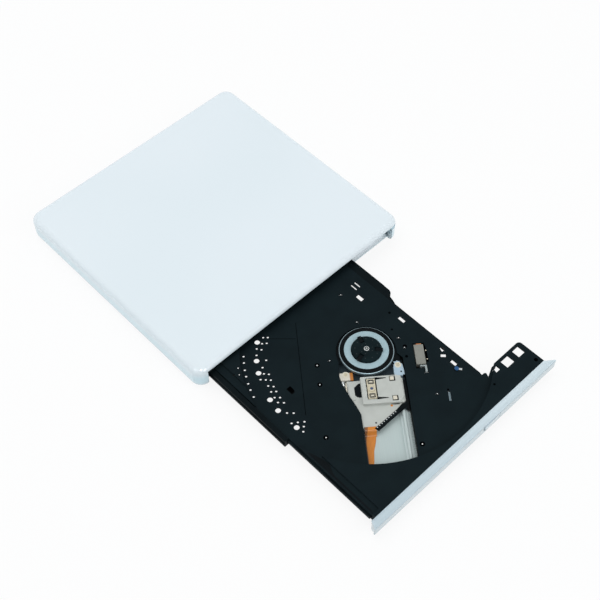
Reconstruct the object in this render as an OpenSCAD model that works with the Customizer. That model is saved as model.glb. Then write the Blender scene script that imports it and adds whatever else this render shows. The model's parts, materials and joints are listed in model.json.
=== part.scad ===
// Slim external disc drive with its drawer pulled out.
// Millimetres. X runs to the right seen from the front, Y to the back, Z up.
// The origin is the middle of the shut drive's footprint, on the surface it stands on.
// Drawer pieces are placed as if the drawer were shut, then moved out together by drawer_out.
// Pieces on the pickup's slide use a frame at the spindle: U along the slide, W to its right.

/* [Case] */
// Width of the case
case_w = 137.5; // [136:0.5:150]
// Depth of the case without the bezel
case_d = 135; // [134:0.5:150]
// Wall thickness of both case halves
wall = 1.5; // [1.2:0.1:1.8]
// Thickness of the top cover's roof
roof_t = 1.5; // [1.2:0.1:2.5]
// Thickness of the lower case's floor
floor_t = 1; // [0.8:0.1:1.6]
// Corner radius of the case seen from above
corner_r = 6; // [5:0.5:8]
// Rounding of the top edge
top_round = 3; // [2:0.1:4]
// Rounding of the bottom edge
bottom_round = 2.4; // [1.8:0.1:2.8]
// Height of the lower case half
lower_h = 3; // [2.8:0.1:3.4]
// Width of the drawer mouth
mouth_w = 126; // [125.6:0.2:127]
// Height of the front lip's face
lip_h = 2.2; // [1.8:0.1:2.6]
// How far the lower case's front edge is set back from the lip
sill_back = 3.3; // [2.5:0.1:4.5]

/* [Feet and case screws] */
// Height of the feet below the case
foot_h = 1; // [0.6:0.1:2]
// Diameter of a foot
foot_d = 8; // [6:0.5:10]
// Depth of the foot's seat in the floor
foot_seat = 0.4; // [0.2:0.1:0.5]
// Distance of the feet from the case sides
foot_inset = 12.5; // [10:0.5:20]
// Diameter of a case screw
case_screw_d = 1.4; // [1.2:0.1:1.5]
// Diameter of a case screw's head
case_screw_head = 3; // [2.6:0.1:3.2]

/* [Chassis] */
// Thickness of the chassis sheet
sheet_t = 0.4; // [0.3:0.05:0.5]
// Space between the case wall and the chassis
chassis_gap = 3.5; // [3.4:0.1:4]
// Free height above the hub, under the top plate
head_room = 0.7; // [0.5:0.05:1]
// Space between the top plate and the roof
plate_gap = 0.6; // [0.55:0.05:1]

/* [Drawer] */
// How far the drawer stands out
drawer_out = 106.8; // [60:0.1:107]
// Free height between the chassis floor and the drawer
under_gap = 1.2; // [1.1:0.05:1.6]
// Height from the drawer's underside to its deck
deck_rise = 3.9; // [3.8:0.05:4.2]
// Thickness of the deck and the shelf skins
skin_t = 0.6; // [0.5:0.05:0.8]
// Height of the shelf around the disc recess above the deck
shelf_rise = 2; // [1.9:0.05:2.2]
// Height of the left rim above the deck
rim_rise = 1.4; // [1:0.05:1.6]
// Radius of the disc recess
recess_r = 60.6; // [60.4:0.1:61]
// Thickness of the drawer's upright walls
tray_wall = 1; // [0.8:0.05:1.2]
// How far the deck reaches to the right of the spindle
deck_right = 30.2; // [29.5:0.1:30.6]
// How far the front right bracket reaches to the right of the spindle
bracket_right = 56.3; // [55.8:0.1:57]
// Depth of the front right bracket
bracket_d = 16; // [15.5:0.1:17]
// Diameter of the large vent holes
big_vent_d = 2.7; // [2.2:0.1:3.2]
// Diameter of the small vent holes
small_vent_d = 1.1; // [0.8:0.1:1.7]

/* [Bezel and button] */
// How far the bezel stands out of the shut case
bezel_proud = 1.5; // [1:0.1:2]
// Depth of the bezel from front to back
bezel_t = 3.15; // [3:0.05:3.5]
// Height of the bezel's vertical front band
bezel_band = 2.8; // [2.6:0.1:3.2]
// Length of the eject button
button_l = 11; // [9:0.5:14]
// Height of the eject button
button_h = 2.8; // [2.4:0.1:3]
// Travel of the eject button
button_travel = 0.5; // [0.3:0.05:0.5]

/* [Rails] */
// Width of the left rail's body
left_rail_w = 2.55; // [2.4:0.05:2.8]
// Length of the left rail
left_rail_l = 114.6; // [100:0.1:115]
// Width of the right rail's body
right_rail_w = 4.5; // [4:0.1:5]
// Length of the right rail
right_rail_l = 95; // [85:0.5:98]
// Clearance of every sliding face
slide_gap = 0.3; // [0.25:0.05:0.35]

/* [Spindle] */
// Offset of the spindle from the middle plane
spindle_x = 0.6; // [0:0.1:1]
// Distance of the spindle behind the case front
spindle_back = 64.95; // [64.6:0.05:65.4]
// Diameter of the turntable
turntable_d = 26.6; // [26:0.1:27]
// Height of the turntable cup
turntable_h = 1.9; // [1.85:0.05:2.2]
// Diameter of the centring hub
hub_d = 14.9; // [14.7:0.05:15]
// Height of the hub above the turntable
hub_h = 1.4; // [1.3:0.05:1.6]
// Diameter of the spindle shaft
shaft_d = 2.5; // [2:0.1:3]
// Radial travel of a centring claw
claw_travel = 0.4; // [0.3:0.05:0.5]

/* [Pickup] */
// Angle of the pickup's slide from straight forward
slide_angle = 39; // [38:0.5:40]
// Distance of the lens from the spindle in its inner place
lens_r = 20.8; // [20.6:0.1:22]
// Travel of the pickup
pickup_travel = 36; // [30:0.5:36]
// Diameter of the guide rods
rod_d = 1.6; // [1.4:0.05:1.7]
// Diameter of the lead screw
lead_d = 1.8; // [1.4:0.1:1.9]
// Diameter of the lens
lens_d = 3; // [2.6:0.1:3.2]
// Up and down travel of the lens to each side
lens_travel = 0.3; // [0.2:0.05:0.3]

/* [Latch] */
// Diameter of the lock pin on the chassis
lock_pin_d = 1.8; // [1.6:0.1:2]
// Diameter of the latch pivot
pivot_d = 1.6; // [1.4:0.1:1.8]
// Length of the latch solenoid
solenoid_l = 11; // [10:0.5:12]
// Width of the latch solenoid
solenoid_w = 4.6; // [4:0.1:5]

/* [Electronics] */
// Thickness of the circuit boards
board_t = 0.8; // [0.6:0.1:1]
// Width of the flat cable
cable_w = 12; // [8:0.5:14]
// Thickness of the flat cable
cable_t = 0.12; // [0.1:0.01:0.2]
// Width of the USB socket
usb_w = 7.7; // [6:0.1:9]
// Height of the USB socket
usb_h = 3.9; // [2.5:0.1:4]

/* [Hidden] */

$fn = 64;
// Coarse rounding for the blended shells
shell_fn = 32;
// A cut runs this far past the face it opens
past = 1;
// Gap between two pieces that rest on each other
seat = 0.05;
// Radial running clearance of a shaft in its bore
running = 0.05;
// Lift between a piece and the face it rests on
touch = 0.02;

// Case faces
case_back = (case_d + bezel_proud) / 2;
case_front = case_back - case_d;
half_w = case_w / 2;
case_z = foot_h;
floor_z = case_z + floor_t;
split_z = case_z + lower_h;

// Chassis faces
pan_x = half_w - wall - chassis_gap;
pan_front = case_front + 6;
pan_back = case_back - wall - 4.55;
pan_z = floor_z + 0.1;
pan_floor = pan_z + sheet_t;

// Drawer levels
drawer_z = pan_floor + under_gap;
cover_top = drawer_z + sheet_t;
deck_z = drawer_z + deck_rise;
deck_under = deck_z - skin_t;
shelf_z = deck_z + shelf_rise;
shelf_under = shelf_z - skin_t - 0.2;
rim_z = deck_z + rim_rise;

// Rotor levels and everything above
table_z = deck_z - 0.3;
table_top = table_z + turntable_h;
hub_top = table_top + hub_h;
shaft_top = hub_top + 0.2;
plate_z = shaft_top + head_room;
plate_top = plate_z + sheet_t;
roof_z = plate_top + plate_gap;
case_top = roof_z + roof_t;
lip_z = case_top - lip_h;

// Drawer faces, drawer shut
spindle_y = case_front + spindle_back;
bezel_front = case_front - bezel_proud;
bezel_back = bezel_front + bezel_t;
tray_front = bezel_back + seat;
tray_back = pan_back - sheet_t - 2.8;
guide_w = 1.8;
guide_lip = 0.8;
left_guide_x = -pan_x + sheet_t + seat;
left_rail_x = left_guide_x + guide_w + slide_gap;
tray_left = left_rail_x + left_rail_w + slide_gap;
rib = 1.05;
tray_right = spindle_x + deck_right;
bracket_x = spindle_x + bracket_right;
bracket_back = tray_front + bracket_d;
right_rail_x = tray_right + slide_gap;
right_guide_x = right_rail_x + right_rail_w + slide_gap;
right_guide_w = 2.6;
table_hole_r = turntable_d / 2 + 1.3;

// Rail heights
rail_z = drawer_z - 0.1;
left_rail_top = rim_z - 0.2;
right_rail_top = deck_under;
groove_z = drawer_z + 1.3;
groove_h = 2.2;
right_groove_z = drawer_z + 1;
right_groove_h = 1.8;
rib_in = 0.3;

// Slide frame of the pickup
slide_turn = 270 - slide_angle;
slot_right = 17;
slot_left = -6.2;
rod_z = cover_top + 1.5;
rod_r = rod_d / 2;
main_rod_w = -9.3;
sub_rod_w = 13.6;
lead_w = -13;
lead_z = cover_top + 1.7;
frame_z = cover_top + 0.1;
frame_t = 0.35;
frame_top = frame_z + frame_t;
body_z = frame_top + 0.15;
body_low = deck_under - 0.4;
body_top = deck_z + 0.2;
pickup_cover_t = 0.4;
pickup_cover_z = body_top + seat;
main_rod_from = 12.5;
sub_rod_from = 11.5;
lead_from = 15;
journal_r = 0.5;
journal_l = 1.6;

// Distance along the slide, at the sideways place w, where it meets a straight line of the drawer
function slide_at_x(x, w) = (x - spindle_x + w * sin(slide_turn)) / cos(slide_turn);
function slide_at_y(y, w) = (y - spindle_y - w * cos(slide_turn)) / sin(slide_turn);

// Outer ends on the slide, each kept clear of the tray's walls
tray_inside = tray_left + tray_wall;
clamp_half = 1.1;
stepper_half = 2.5;
stepper_l = 7;
stepper_h = 2.75;
cover_left = -18.2;
cover_right = 21;
main_end = slide_at_x(tray_inside + 3.35, main_rod_w);
sub_end = slide_at_y(tray_front + tray_wall + 0.25, sub_rod_w + clamp_half);
stepper_end = slide_at_x(tray_inside + 1.45, lead_w - stepper_half);
cover_end = slide_at_x(tray_inside + 4.65, cover_left);
main_rod_to = main_end - 0.5;
sub_rod_to = sub_end - 0.3;
lead_to = stepper_end - stepper_l - 0.4;
main_clamp_l = 2.8;
bridge_from = 4;
bridge_to = 15.3;
left_arm = [main_rod_w - 2.5, main_rod_w + 1.7];
right_arm = [sub_rod_w - 1.7, sub_rod_w + 2];
bridge_side = [lead_w - 1.4, slot_right - 0.4];

// Posts and screws of the mechanism cover, in the slide frame
post_r = 1.3;
cover_screw_r = 0.5;
post_left = cover_left + 1.8;
post_right = cover_right - 1.4;
cover_posts = [
    [6, post_left], [cover_end / 2 + 1.5, post_left], [cover_end - 5, post_left],
    [22, post_right], [cover_end - 13, post_right]
];

// Circuit boards
main_board_z = pan_floor + 0.9;
main_board_x = right_guide_x + right_guide_w + 1.6;
main_board_right = pan_x - sheet_t - 1.6;
main_board_back = pan_back - sheet_t - 1.2;
main_board_l = 54;
main_board_front = main_board_back - main_board_l;
board_hole_in = 2.6;
board_screw_r = 0.7;
main_board_holes = [
    [main_board_x + board_hole_in, main_board_front + board_hole_in],
    [main_board_right - board_hole_in, main_board_front + board_hole_in],
    [main_board_right - board_hole_in, main_board_back - board_hole_in - 9]
];
usb_x = (main_board_x + main_board_right) / 2;
usb_z = main_board_z + board_t + seat;
usb_l = 9;
connector_d = 4;
// Cable's way from the main board's front edge
cable_in = 28;
cable_y = main_board_front + cable_in;
cable_x = 0;
cable_low = pan_floor + 0.1;
drawer_board_x = [-24, 12];
// Drawer board: its start behind the spindle, its room to the tray's back, its connector's inset
board_behind = 22;
board_back_gap = 2.4;
connector_in = 6;
drawer_board_y = [spindle_y + board_behind, tray_back - board_back_gap];
drawer_board_z = drawer_z + 1;
drawer_hole_in = 3;
drawer_board_holes = [
    [drawer_board_x[0] + drawer_hole_in, drawer_board_y[0] + drawer_hole_in],
    [drawer_board_x[1] - drawer_hole_in, drawer_board_y[0] + drawer_hole_in],
    [drawer_board_x[0] + drawer_hole_in, drawer_board_y[1] - drawer_hole_in]
];
drawer_connector_y = drawer_board_y[1] - connector_in;
cable_high = drawer_z - 0.3;

// Eject button and switch
button_x = 9.8;
button_bottom = deck_z - 2;
button_front = bezel_front - 0.7;
button_depth = 2.4;
button_gap = 0.2;
stem_in = 3;
stem_w = 3;
stem_x = [button_x + stem_in, button_x + stem_in + stem_w];
stem_h = 1.1;
stem_back = tray_front + 1.9;
switch_z = drawer_z + 0.6;
switch_board_x = [button_x - 4.8, button_x + 17.2];
switch_board_d = 6.1;
switch_post_y = tray_front + tray_wall + switch_board_d - 1.6;
switch_posts = [[switch_board_x[0] + 3, switch_post_y], [switch_board_x[1] - 3, switch_post_y]];

// Latch
latch_x = 24.5;
// Latch pivot, this far in front of the spindle
latch_ahead = 36.4;
latch_y = spindle_y - latch_ahead;
latch_arm = 6.6;
latch_z = pan_floor + 0.3;
latch_t = 0.7;
lock_x = latch_x + 2.8;
lock_y = latch_y + latch_arm - 3.1;

// Solenoid place in the slide frame
solenoid_u = -1.9;
solenoid_wc = 25.3;
solenoid_z = drawer_z + 1.3;
solenoid_h = 3;
pocket_gap = 0.4;
plunger_r = 0.7;
link_u = 13.3;
link_half = 0.4;
link_z = drawer_z + 0.7;
link_t = 0.6;
link_end = 38.3;

// Left edge of the pickup's opening, in the slide frame
opening_left = [[0, -13.4], [12, -14.4], [15.6, -13.8], [23.4, -10.8], [29, -8.2], [33.7, slot_left - 0.2]];

// Vent holes: distance from the spindle, then angles from straight left towards the back
big_vents = [52.7, [-7, 6.5, 14, 31, 38.5, 50]];
small_vents = [
    [48.1, [-8, 0, 8.5, 12.5, 17, 20.5, 25, 29, 38.5, 50, 54]],
    [50.3, [-9.5, -5.5, 2.5, 10.5, 14, 18, 22, 26, 30, 34, 45.5, 49.5, 53.5]],
    [52.6, [-11, -3.5, 27, 42, 46]],
    [58.8, [19, 23, 26.5, 30.5, 34, 38, 41.5]],
    [61.7, [31, 34.5]],
    [64.5, [31.5]]
];

// Deck windows: place from the spindle, size, turn
deck_windows = [
    [[20.6, 24.4], [2.1, 3.9], 0],
    [[26, 1.1], [1.7, 3.9], 0],
    [[25.6, -33.1], [1.7, 3.3], 0],
    [[25.1, -26.9], [1.7, 2.5], 45],
    [[27.5, -24.1], [1.7, 2.5], -20],
    [[23.1, 31], [0.8, 3.9], 0],
    [[25.5, 31], [0.8, 3.9], 0],
    [[10.6, -44], [1.1, 5.2], -41]
];
// Small screws set into the deck, from the spindle
deck_screw_spots = [[9, 15.2], [17, -5.2], [15, -11], [7.2, -39.2], [14.9, 32.2], [-16.2, 8.6]];
// Moulded pits in the deck, from the spindle
deck_pits = [[-22.3, 10.9], [-28.8, 2.4], [-46.4, -19.5], [-17.2, -52.1]];
deck_screw_r = 0.7;
// A shallow oblong pocket in the deck: near corner from the spindle, and size
deck_pocket = [-41.9, 7.6];
pocket_size = [2, 4];

// Moves the children to the drawer's place
module at_drawer() {
    translate([0, -drawer_out, 0]) children();
}

// Moves the children to the spindle on the drawer
module at_spindle(z = 0) {
    at_drawer() translate([spindle_x, spindle_y, z]) children();
}

// Turns the children into the pickup's slide frame
module on_slide(z = 0) {
    at_spindle(z) rotate([0, 0, slide_turn]) children();
}

// A box between two corners
module span(low, high) {
    translate(low) cube(high - low);
}

// A flat plate of the children's outline
module plate(z, t) {
    translate([0, 0, z]) linear_extrude(t) children();
}

// A rectangle between two corners
module patch(low, high) {
    translate(low) square(high - low);
}

// Places the children in all four quarters
module four_corners(x, y) {
    for (sx = [-1, 1], sy = [-1, 1]) translate([sx * x, sy * y, 0]) children();
}

// An upright round post with one rounded rim, at the top or at the bottom
module round_post(r, h, round_r) {
    rotate_extrude($fn = shell_fn) {
        square([r, h - round_r]);
        square([r - round_r, h]);
        translate([r - round_r, h - round_r]) intersection() {
            circle(round_r);
            square(round_r);
        }
    }
}

// A block with round corners and a rounded top rim
module soft_block(w, front, back, r, h, round_r) {
    hull() {
        for (sx = [-1, 1], y = [front + r, back - r]) {
            translate([sx * (w / 2 - r), y, 0]) round_post(r, h, round_r);
        }
    }
}

// What a rounding takes off the corner at (x, y); sx and sy point into the patch
module corner_waste(x, y, sx, sy, r) {
    margin = touch;
    difference() {
        translate([x + sx * (r - margin) / 2, y + sy * (r - margin) / 2]) square(r + margin, center = true);
        translate([x + sx * r, y + sy * r]) circle(r);
    }
}

// A rectangle with round corners
module soft_patch(w, front, back, r) {
    difference() {
        patch([-w / 2, front], [w / 2, back]);
        for (sx = [-1, 1]) {
            corner_waste(sx * w / 2, front, -sx, 1, r);
            corner_waste(sx * w / 2, back, -sx, -1, r);
        }
    }
}

// A ring between two insets from the case outline
module inset_ring(outer, inner) {
    difference() {
        soft_patch(case_w - 2 * outer, case_front + outer, case_back - outer, corner_r - outer);
        soft_patch(case_w - 2 * inner, case_front + inner, case_back - inner, corner_r - inner);
    }
}

// Case screw places: front posts and back corners
case_screw_spots = [
    [pan_x + 1.2, case_front + 3.35], [-pan_x - 1.2, case_front + 3.35],
    [pan_x - 2.75, case_back - 3.4], [-pan_x + 2.75, case_back - 3.4]
];
boss_r = 1.3;
case_screw_r = case_screw_d / 2;

module mouth_cut(low, high) {
    span([-mouth_w / 2, case_front - past, low], [mouth_w / 2, case_front + corner_r, high]);
}

module top_cover() {
    cover_h = case_top - split_z;
    color("white") difference() {
        union() {
            difference() {
                translate([0, 0, split_z])
                    soft_block(case_w, case_front, case_back, corner_r, cover_h, top_round);
                translate([0, 0, split_z - past]) soft_block(
                    case_w - 2 * wall, case_front + wall, case_back - wall,
                    corner_r - wall, cover_h - roof_t + past, max(top_round - wall, 0.5)
                );
                mouth_cut(split_z - past, lip_z);
                lip_slot();
                usb_cut();
            }
            for (p = case_screw_spots) translate([p[0], p[1], split_z + seat])
                cylinder(r = boss_r, h = cover_h - roof_t / 2);
        }
        for (p = case_screw_spots) translate([p[0], p[1], split_z - past])
            cylinder(r = case_screw_r + running, h = 5 + past);
    }
}

// The slot under the lip at the right front post
module lip_slot() {
    slot_w = 3;
    slot_h = 2;
    span(
        [mouth_w / 2 - past, case_front - past, lip_z - slot_h],
        [mouth_w / 2 + slot_w, case_front + wall + touch, lip_z]
    );
}

// The cut for the USB socket in the back wall
module usb_cut() {
    usb_margin = 0.4;
    span(
        [usb_x - usb_w / 2 - usb_margin, pan_back - sheet_t - past, split_z - past],
        [usb_x + usb_w / 2 + usb_margin, case_back + past, usb_z + usb_h + usb_margin]
    );
}

module bottom_case() {
    tongue_t = 0.7;
    tongue_h = 1;
    tongue_gap = 0.1;
    tongue_in = wall + tongue_gap;
    head_h = 0.6;
    color("whitesmoke") difference() {
        union() {
            difference() {
                translate([0, 0, split_z]) mirror([0, 0, 1])
                    soft_block(case_w, case_front, case_back, corner_r, lower_h, bottom_round);
                translate([0, 0, split_z + past]) mirror([0, 0, 1]) soft_block(
                    case_w - 2 * wall, case_front + wall, case_back - wall,
                    corner_r - wall, lower_h - floor_t + past, max(bottom_round - floor_t, 0.5)
                );
            }
            plate(split_z - tongue_h, tongue_h) inset_ring(wall / 2, tongue_in + tongue_t);
            plate(split_z - tongue_h / 2, 3 * tongue_h / 2) inset_ring(tongue_in, tongue_in + tongue_t);
            for (p = case_screw_spots) translate([p[0], p[1], floor_z - floor_t / 2])
                cylinder(r = boss_r, h = lower_h - floor_t / 2);
        }
        span(
            [-mouth_w / 2, case_front - past, case_z - past],
            [mouth_w / 2, case_front + sill_back, split_z + tongue_h + past]
        );
        lip_slot();
        usb_cut();
        four_corners(half_w - foot_inset, case_d / 2 - foot_inset) translate([0, 0, case_z - past])
            cylinder(d = foot_d + 0.2, h = foot_seat + past);
        for (p = case_screw_spots) translate([p[0], p[1], case_z - past]) {
            cylinder(r = case_screw_r + running, h = lower_h + 2 * past);
            cylinder(d = case_screw_head + 0.2, h = head_h + past);
            translate([0, 0, lower_h + past]) cylinder(r = boss_r + 0.2, h = 2 * tongue_h);
        }
    }
}

module rubber_feet() {
    color("dimgray") four_corners(half_w - foot_inset, case_d / 2 - foot_inset)
        cylinder(d = foot_d, h = foot_h + foot_seat - seat);
}

module case_screws() {
    head_h = 0.5;
    screw_l = 6;
    color("silver") for (p = case_screw_spots) translate([p[0], p[1], case_z + seat]) {
        cylinder(d = case_screw_head, h = head_h);
        cylinder(r = case_screw_r, h = screw_l);
    }
}

// Places of the screws that hold the chassis top plate
plate_screw_spots = [for (sx = [-1, 1], y = [pan_front + 20, pan_back - 22]) [sx, y]];
plate_screw_in = 2.2;
plate_screw_r = 0.5;

module lower_chassis() {
    pan_top = plate_z - seat;
    tab_l = 5;
    tab_w = 4;
    standoff_r = 1.6;
    color("silver") difference() {
        union() {
            span([-pan_x, pan_front, pan_z], [pan_x, pan_back, pan_floor]);
            for (sx = [0, 1]) mirror([sx, 0, 0]) {
                span([pan_x - sheet_t, pan_front, pan_z], [pan_x, pan_back, pan_top]);
                for (spot = plate_screw_spots) span(
                    [pan_x - tab_w, spot[1] - tab_l / 2, pan_top - sheet_t],
                    [pan_x, spot[1] + tab_l / 2, pan_top]
                );
            }
            span([-pan_x, pan_back - sheet_t, pan_z], [pan_x, pan_back, pan_top]);
            for (p = main_board_holes) translate([p[0], p[1], pan_floor - sheet_t / 2])
                cylinder(r = standoff_r, h = main_board_z - seat - pan_floor + sheet_t / 2);
        }
        for (spot = plate_screw_spots)
            translate([spot[0] * (pan_x - plate_screw_in), spot[1], pan_top - past])
                cylinder(r = plate_screw_r + running, h = 2 * past);
        for (p = main_board_holes) translate([p[0], p[1], pan_z - past])
            cylinder(r = board_screw_r + running, h = main_board_z + past);
        usb_cut();
    }
}

module top_plate() {
    flange_h = 2.5;
    flange_gap = 0.08;
    outer = pan_x + flange_gap + sheet_t;
    color("lightgray") difference() {
        union() {
            span([-outer, pan_front, plate_z], [outer, pan_back + flange_gap + sheet_t, plate_top]);
            for (sx = [0, 1]) mirror([sx, 0, 0])
                span([outer - sheet_t, pan_front, plate_z - flange_h], [outer, pan_back, plate_top]);
            span(
                [-outer, pan_back + flange_gap, plate_z - flange_h],
                [outer, pan_back + flange_gap + sheet_t, plate_top]
            );
        }
        for (spot = plate_screw_spots)
            translate([spot[0] * (pan_x - plate_screw_in), spot[1], plate_z - past])
                cylinder(r = plate_screw_r + running, h = 2 * past);
    }
}

module chassis_screws() {
    head_r = 1.2;
    head_h = 0.45;
    shank_l = 1.6;
    color("silver") for (spot = plate_screw_spots)
        translate([spot[0] * (pan_x - plate_screw_in), spot[1], plate_top + touch]) {
            cylinder(r = head_r, h = head_h);
            translate([0, 0, -shank_l]) cylinder(r = plate_screw_r, h = shank_l + head_h);
        }
}

module main_board() {
    color("darkgreen") difference() {
        span(
            [main_board_x, main_board_front, main_board_z],
            [main_board_right, main_board_back, main_board_z + board_t]
        );
        for (p = main_board_holes) translate([p[0], p[1], main_board_z - past])
            cylinder(r = board_screw_r + running, h = board_t + 2 * past);
    }
}

module main_board_chips() {
    chip_h = 1;
    chip_z = main_board_z + board_t + touch;
    board_w = main_board_right - main_board_x;
    small_w = board_w / 11;
    color("black") translate([main_board_x, main_board_front, chip_z]) {
        translate([board_w * 0.28, main_board_l / 3, 0]) cube([board_w * 0.42, board_w * 0.42, chip_h]);
        translate([board_w / 4, main_board_l * 0.6, 0]) cube([board_w * 0.28, board_w * 0.37, chip_h]);
        translate([board_w * 0.65, main_board_l * 0.15, 0]) cube([board_w / 7, board_w / 4, chip_h]);
        for (i = [0 : 3]) translate([board_w * 0.63, main_board_l * 0.56 + 1.6 * small_w * i, 0])
            cube([small_w, small_w * 0.6, chip_h]);
    }
}

module main_board_screws() {
    head_r = 1.3;
    head_h = 0.6;
    shank_l = board_t + 1;
    color("silver") for (p = main_board_holes) translate([p[0], p[1], main_board_z + board_t + touch]) {
        cylinder(r = head_r, h = head_h);
        translate([0, 0, -shank_l]) cylinder(r = board_screw_r, h = shank_l + head_h);
    }
}

module main_connector() {
    color("ivory") span(
        [main_board_x, cable_y - 1, cable_low + cable_t + seat],
        [main_board_x + connector_d, cable_y + cable_w + 1, main_board_z - seat]
    );
}

module usb_socket() {
    shell_t = 0.35;
    tongue_t = 0.8;
    tongue_w = 5;
    back_t = 1.5;
    from_y = case_back - usb_l - 0.4;
    mid_z = usb_z + usb_h / 2;
    color("silver") {
        difference() {
            span([usb_x - usb_w / 2, from_y, usb_z], [usb_x + usb_w / 2, from_y + usb_l, usb_z + usb_h]);
            span(
                [usb_x - usb_w / 2 + shell_t, from_y + back_t, usb_z + shell_t],
                [usb_x + usb_w / 2 - shell_t, case_back + past, usb_z + usb_h - shell_t]
            );
        }
        span(
            [usb_x - tongue_w / 2, from_y + back_t / 2, mid_z - tongue_t / 2],
            [usb_x + tongue_w / 2, from_y + usb_l - 1, mid_z + tongue_t / 2]
        );
    }
}

// A guide channel for a rail's outer rib
module left_guide() {
    front = pan_front + 0.8;
    back = pan_back - 12;
    color("dimgray") difference() {
        span(
            [left_guide_x, front, pan_floor + seat],
            [left_guide_x + guide_w, back, left_rail_top + 0.2]
        );
        span(
            [left_guide_x + guide_w - guide_lip, front - past, groove_z - rib_in],
            [left_guide_x + guide_w + past, back + past, groove_z + groove_h - rib_in / 2]
        );
    }
}

module right_guide() {
    front = pan_front + 0.8;
    back = cable_y - 4;
    color("dimgray") difference() {
        span(
            [right_guide_x, front, pan_floor + seat],
            [right_guide_x + right_guide_w, back, right_rail_top]
        );
        span(
            [right_guide_x - past, front - past, right_groove_z - rib_in],
            [right_guide_x + guide_lip, back + past, right_groove_z + right_groove_h]
        );
    }
}

module lock_pin() {
    base_r = lock_pin_d / 2 + 0.35;
    base_h = 0.2;
    color("silver") translate([lock_x, lock_y, pan_floor + touch]) {
        cylinder(r = base_r, h = base_h);
        cylinder(d = lock_pin_d, h = drawer_z - pan_floor - 0.2);
    }
}

// The cable lies on the chassis floor, turns over in front and ends at the drawer's connector
module flat_cable() {
    left = cable_x - cable_w / 2;
    bend_y = drawer_connector_y - drawer_out - 5;
    high_end = drawer_connector_y - drawer_out + connector_d - 0.5;
    bend_r = (cable_high - cable_low) / 2 - cable_t;
    color("ivory") {
        span(
            [left, cable_y, cable_low],
            [main_board_x + connector_d - 0.5, cable_y + cable_w, cable_low + cable_t]
        );
        span([left, bend_y, cable_low], [left + cable_w, cable_y + 0.5, cable_low + cable_t]);
        span([left, bend_y, cable_high - cable_t], [left + cable_w, high_end, cable_high]);
        translate([left, bend_y, cable_low + cable_t + bend_r]) rotate([90, 0, 90]) linear_extrude(cable_w)
            difference() {
                circle(bend_r + cable_t);
                circle(bend_r);
                translate([0, -2 * bend_r]) square(4 * bend_r);
            }
    }
}

// Half of the drawer's way out, which is how far each rail stands out
rail_out = drawer_out / 2;

module left_rail() {
    front = tray_front + tray_wall + slide_gap - rail_out;
    back = front + left_rail_l;
    color("#202020") difference() {
        union() {
            span([left_rail_x, front, rail_z], [left_rail_x + left_rail_w, back, left_rail_top]);
            span(
                [left_rail_x - guide_lip + slide_gap, front, groove_z],
                [left_rail_x + past, back, groove_z + groove_h - 2 * rib_in]
            );
        }
        span(
            [left_rail_x + left_rail_w - rib - touch, front - past, groove_z],
            [left_rail_x + left_rail_w + past, back + past, groove_z + groove_h]
        );
    }
}

module right_rail() {
    nose = 5.4;
    round_r = 3.5;
    back = pan_back - sheet_t - 12.4 - rail_out;
    front = back - right_rail_l + nose;
    right = right_rail_x + right_rail_w;
    color("#202020") difference() {
        union() {
            plate(rail_z, right_rail_top - rail_z) {
                difference() {
                    patch([right_rail_x, front], [right, back]);
                    corner_waste(right, front, -1, 1, round_r);
                }
                polygon([
                    [right_rail_x, front + 0.1], [right_rail_x + 1.9, front + 0.1],
                    [right_rail_x + 1.2, front - 2.8], [right_rail_x + 0.4, front - nose + 0.5],
                    [right_rail_x, front - nose]
                ]);
            }
            span(
                [right - past, front + 2 * round_r, right_groove_z],
                [right + guide_lip - touch, back, right_groove_z + right_groove_h - 2 * rib_in]
            );
        }
        span(
            [right_rail_x - past, front - nose - past, right_groove_z],
            [right_rail_x + rib, back + past, right_groove_z + right_groove_h]
        );
    }
}

// The tray's outline without the bracket
module deck_patch() {
    patch([tray_left, tray_front], [tray_right, tray_back]);
}

// The bracket at the front right, with a notch and a bump beside the deck and a rounded back corner
module bracket_patch() {
    round_r = 2;
    bump = 2.2;
    notch = 1.4;
    difference() {
        polygon([
            [tray_right - past, tray_front], [bracket_x, tray_front],
            [bracket_x, bracket_back], [tray_right + bump + 4.2, bracket_back],
            [tray_right + notch, bracket_back - 2.3], [tray_right + bump, bracket_back - 0.3],
            [tray_right + notch, bracket_back + 0.4], [tray_right - past, bracket_back + 0.4]
        ]);
        corner_waste(bracket_x, bracket_back, -1, -1, round_r);
    }
}

// The windows of the bracket, measured back from its right end
module bracket_windows() {
    window_h = 4.5;
    small_h = 2.6;
    from_back = 1.5;
    top = bracket_back - from_back;
    patch([bracket_x - 7.1, top - window_h], [bracket_x - 2.6, top]);
    patch([bracket_x - 15.5, top - window_h], [bracket_x - 10.2, top]);
    polygon([
        [bracket_x - 21.4, top - small_h], [bracket_x - 18.4, top - small_h], [bracket_x - 18.4, top],
        [bracket_x - 20.7, top]
    ]);
}

// The opening over the turntable and along the pickup's slide, from the spindle
module pickup_opening() {
    circle(table_hole_r);
    far_u = recess_r + 4;
    rotate(slide_turn) polygon(concat(
        opening_left, [[far_u, slot_left], [far_u, slot_right], [bridge_from + 0.5, slot_right], [0, 13]]
    ));
}

// One hole for each vent, from the spindle
module vent_holes() {
    for (a = big_vents[1]) rotate(180 - a) translate([big_vents[0], 0]) circle(d = big_vent_d);
    for (row = small_vents, a = row[1]) rotate(180 - a) translate([row[0], 0]) circle(d = small_vent_d);
}

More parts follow.
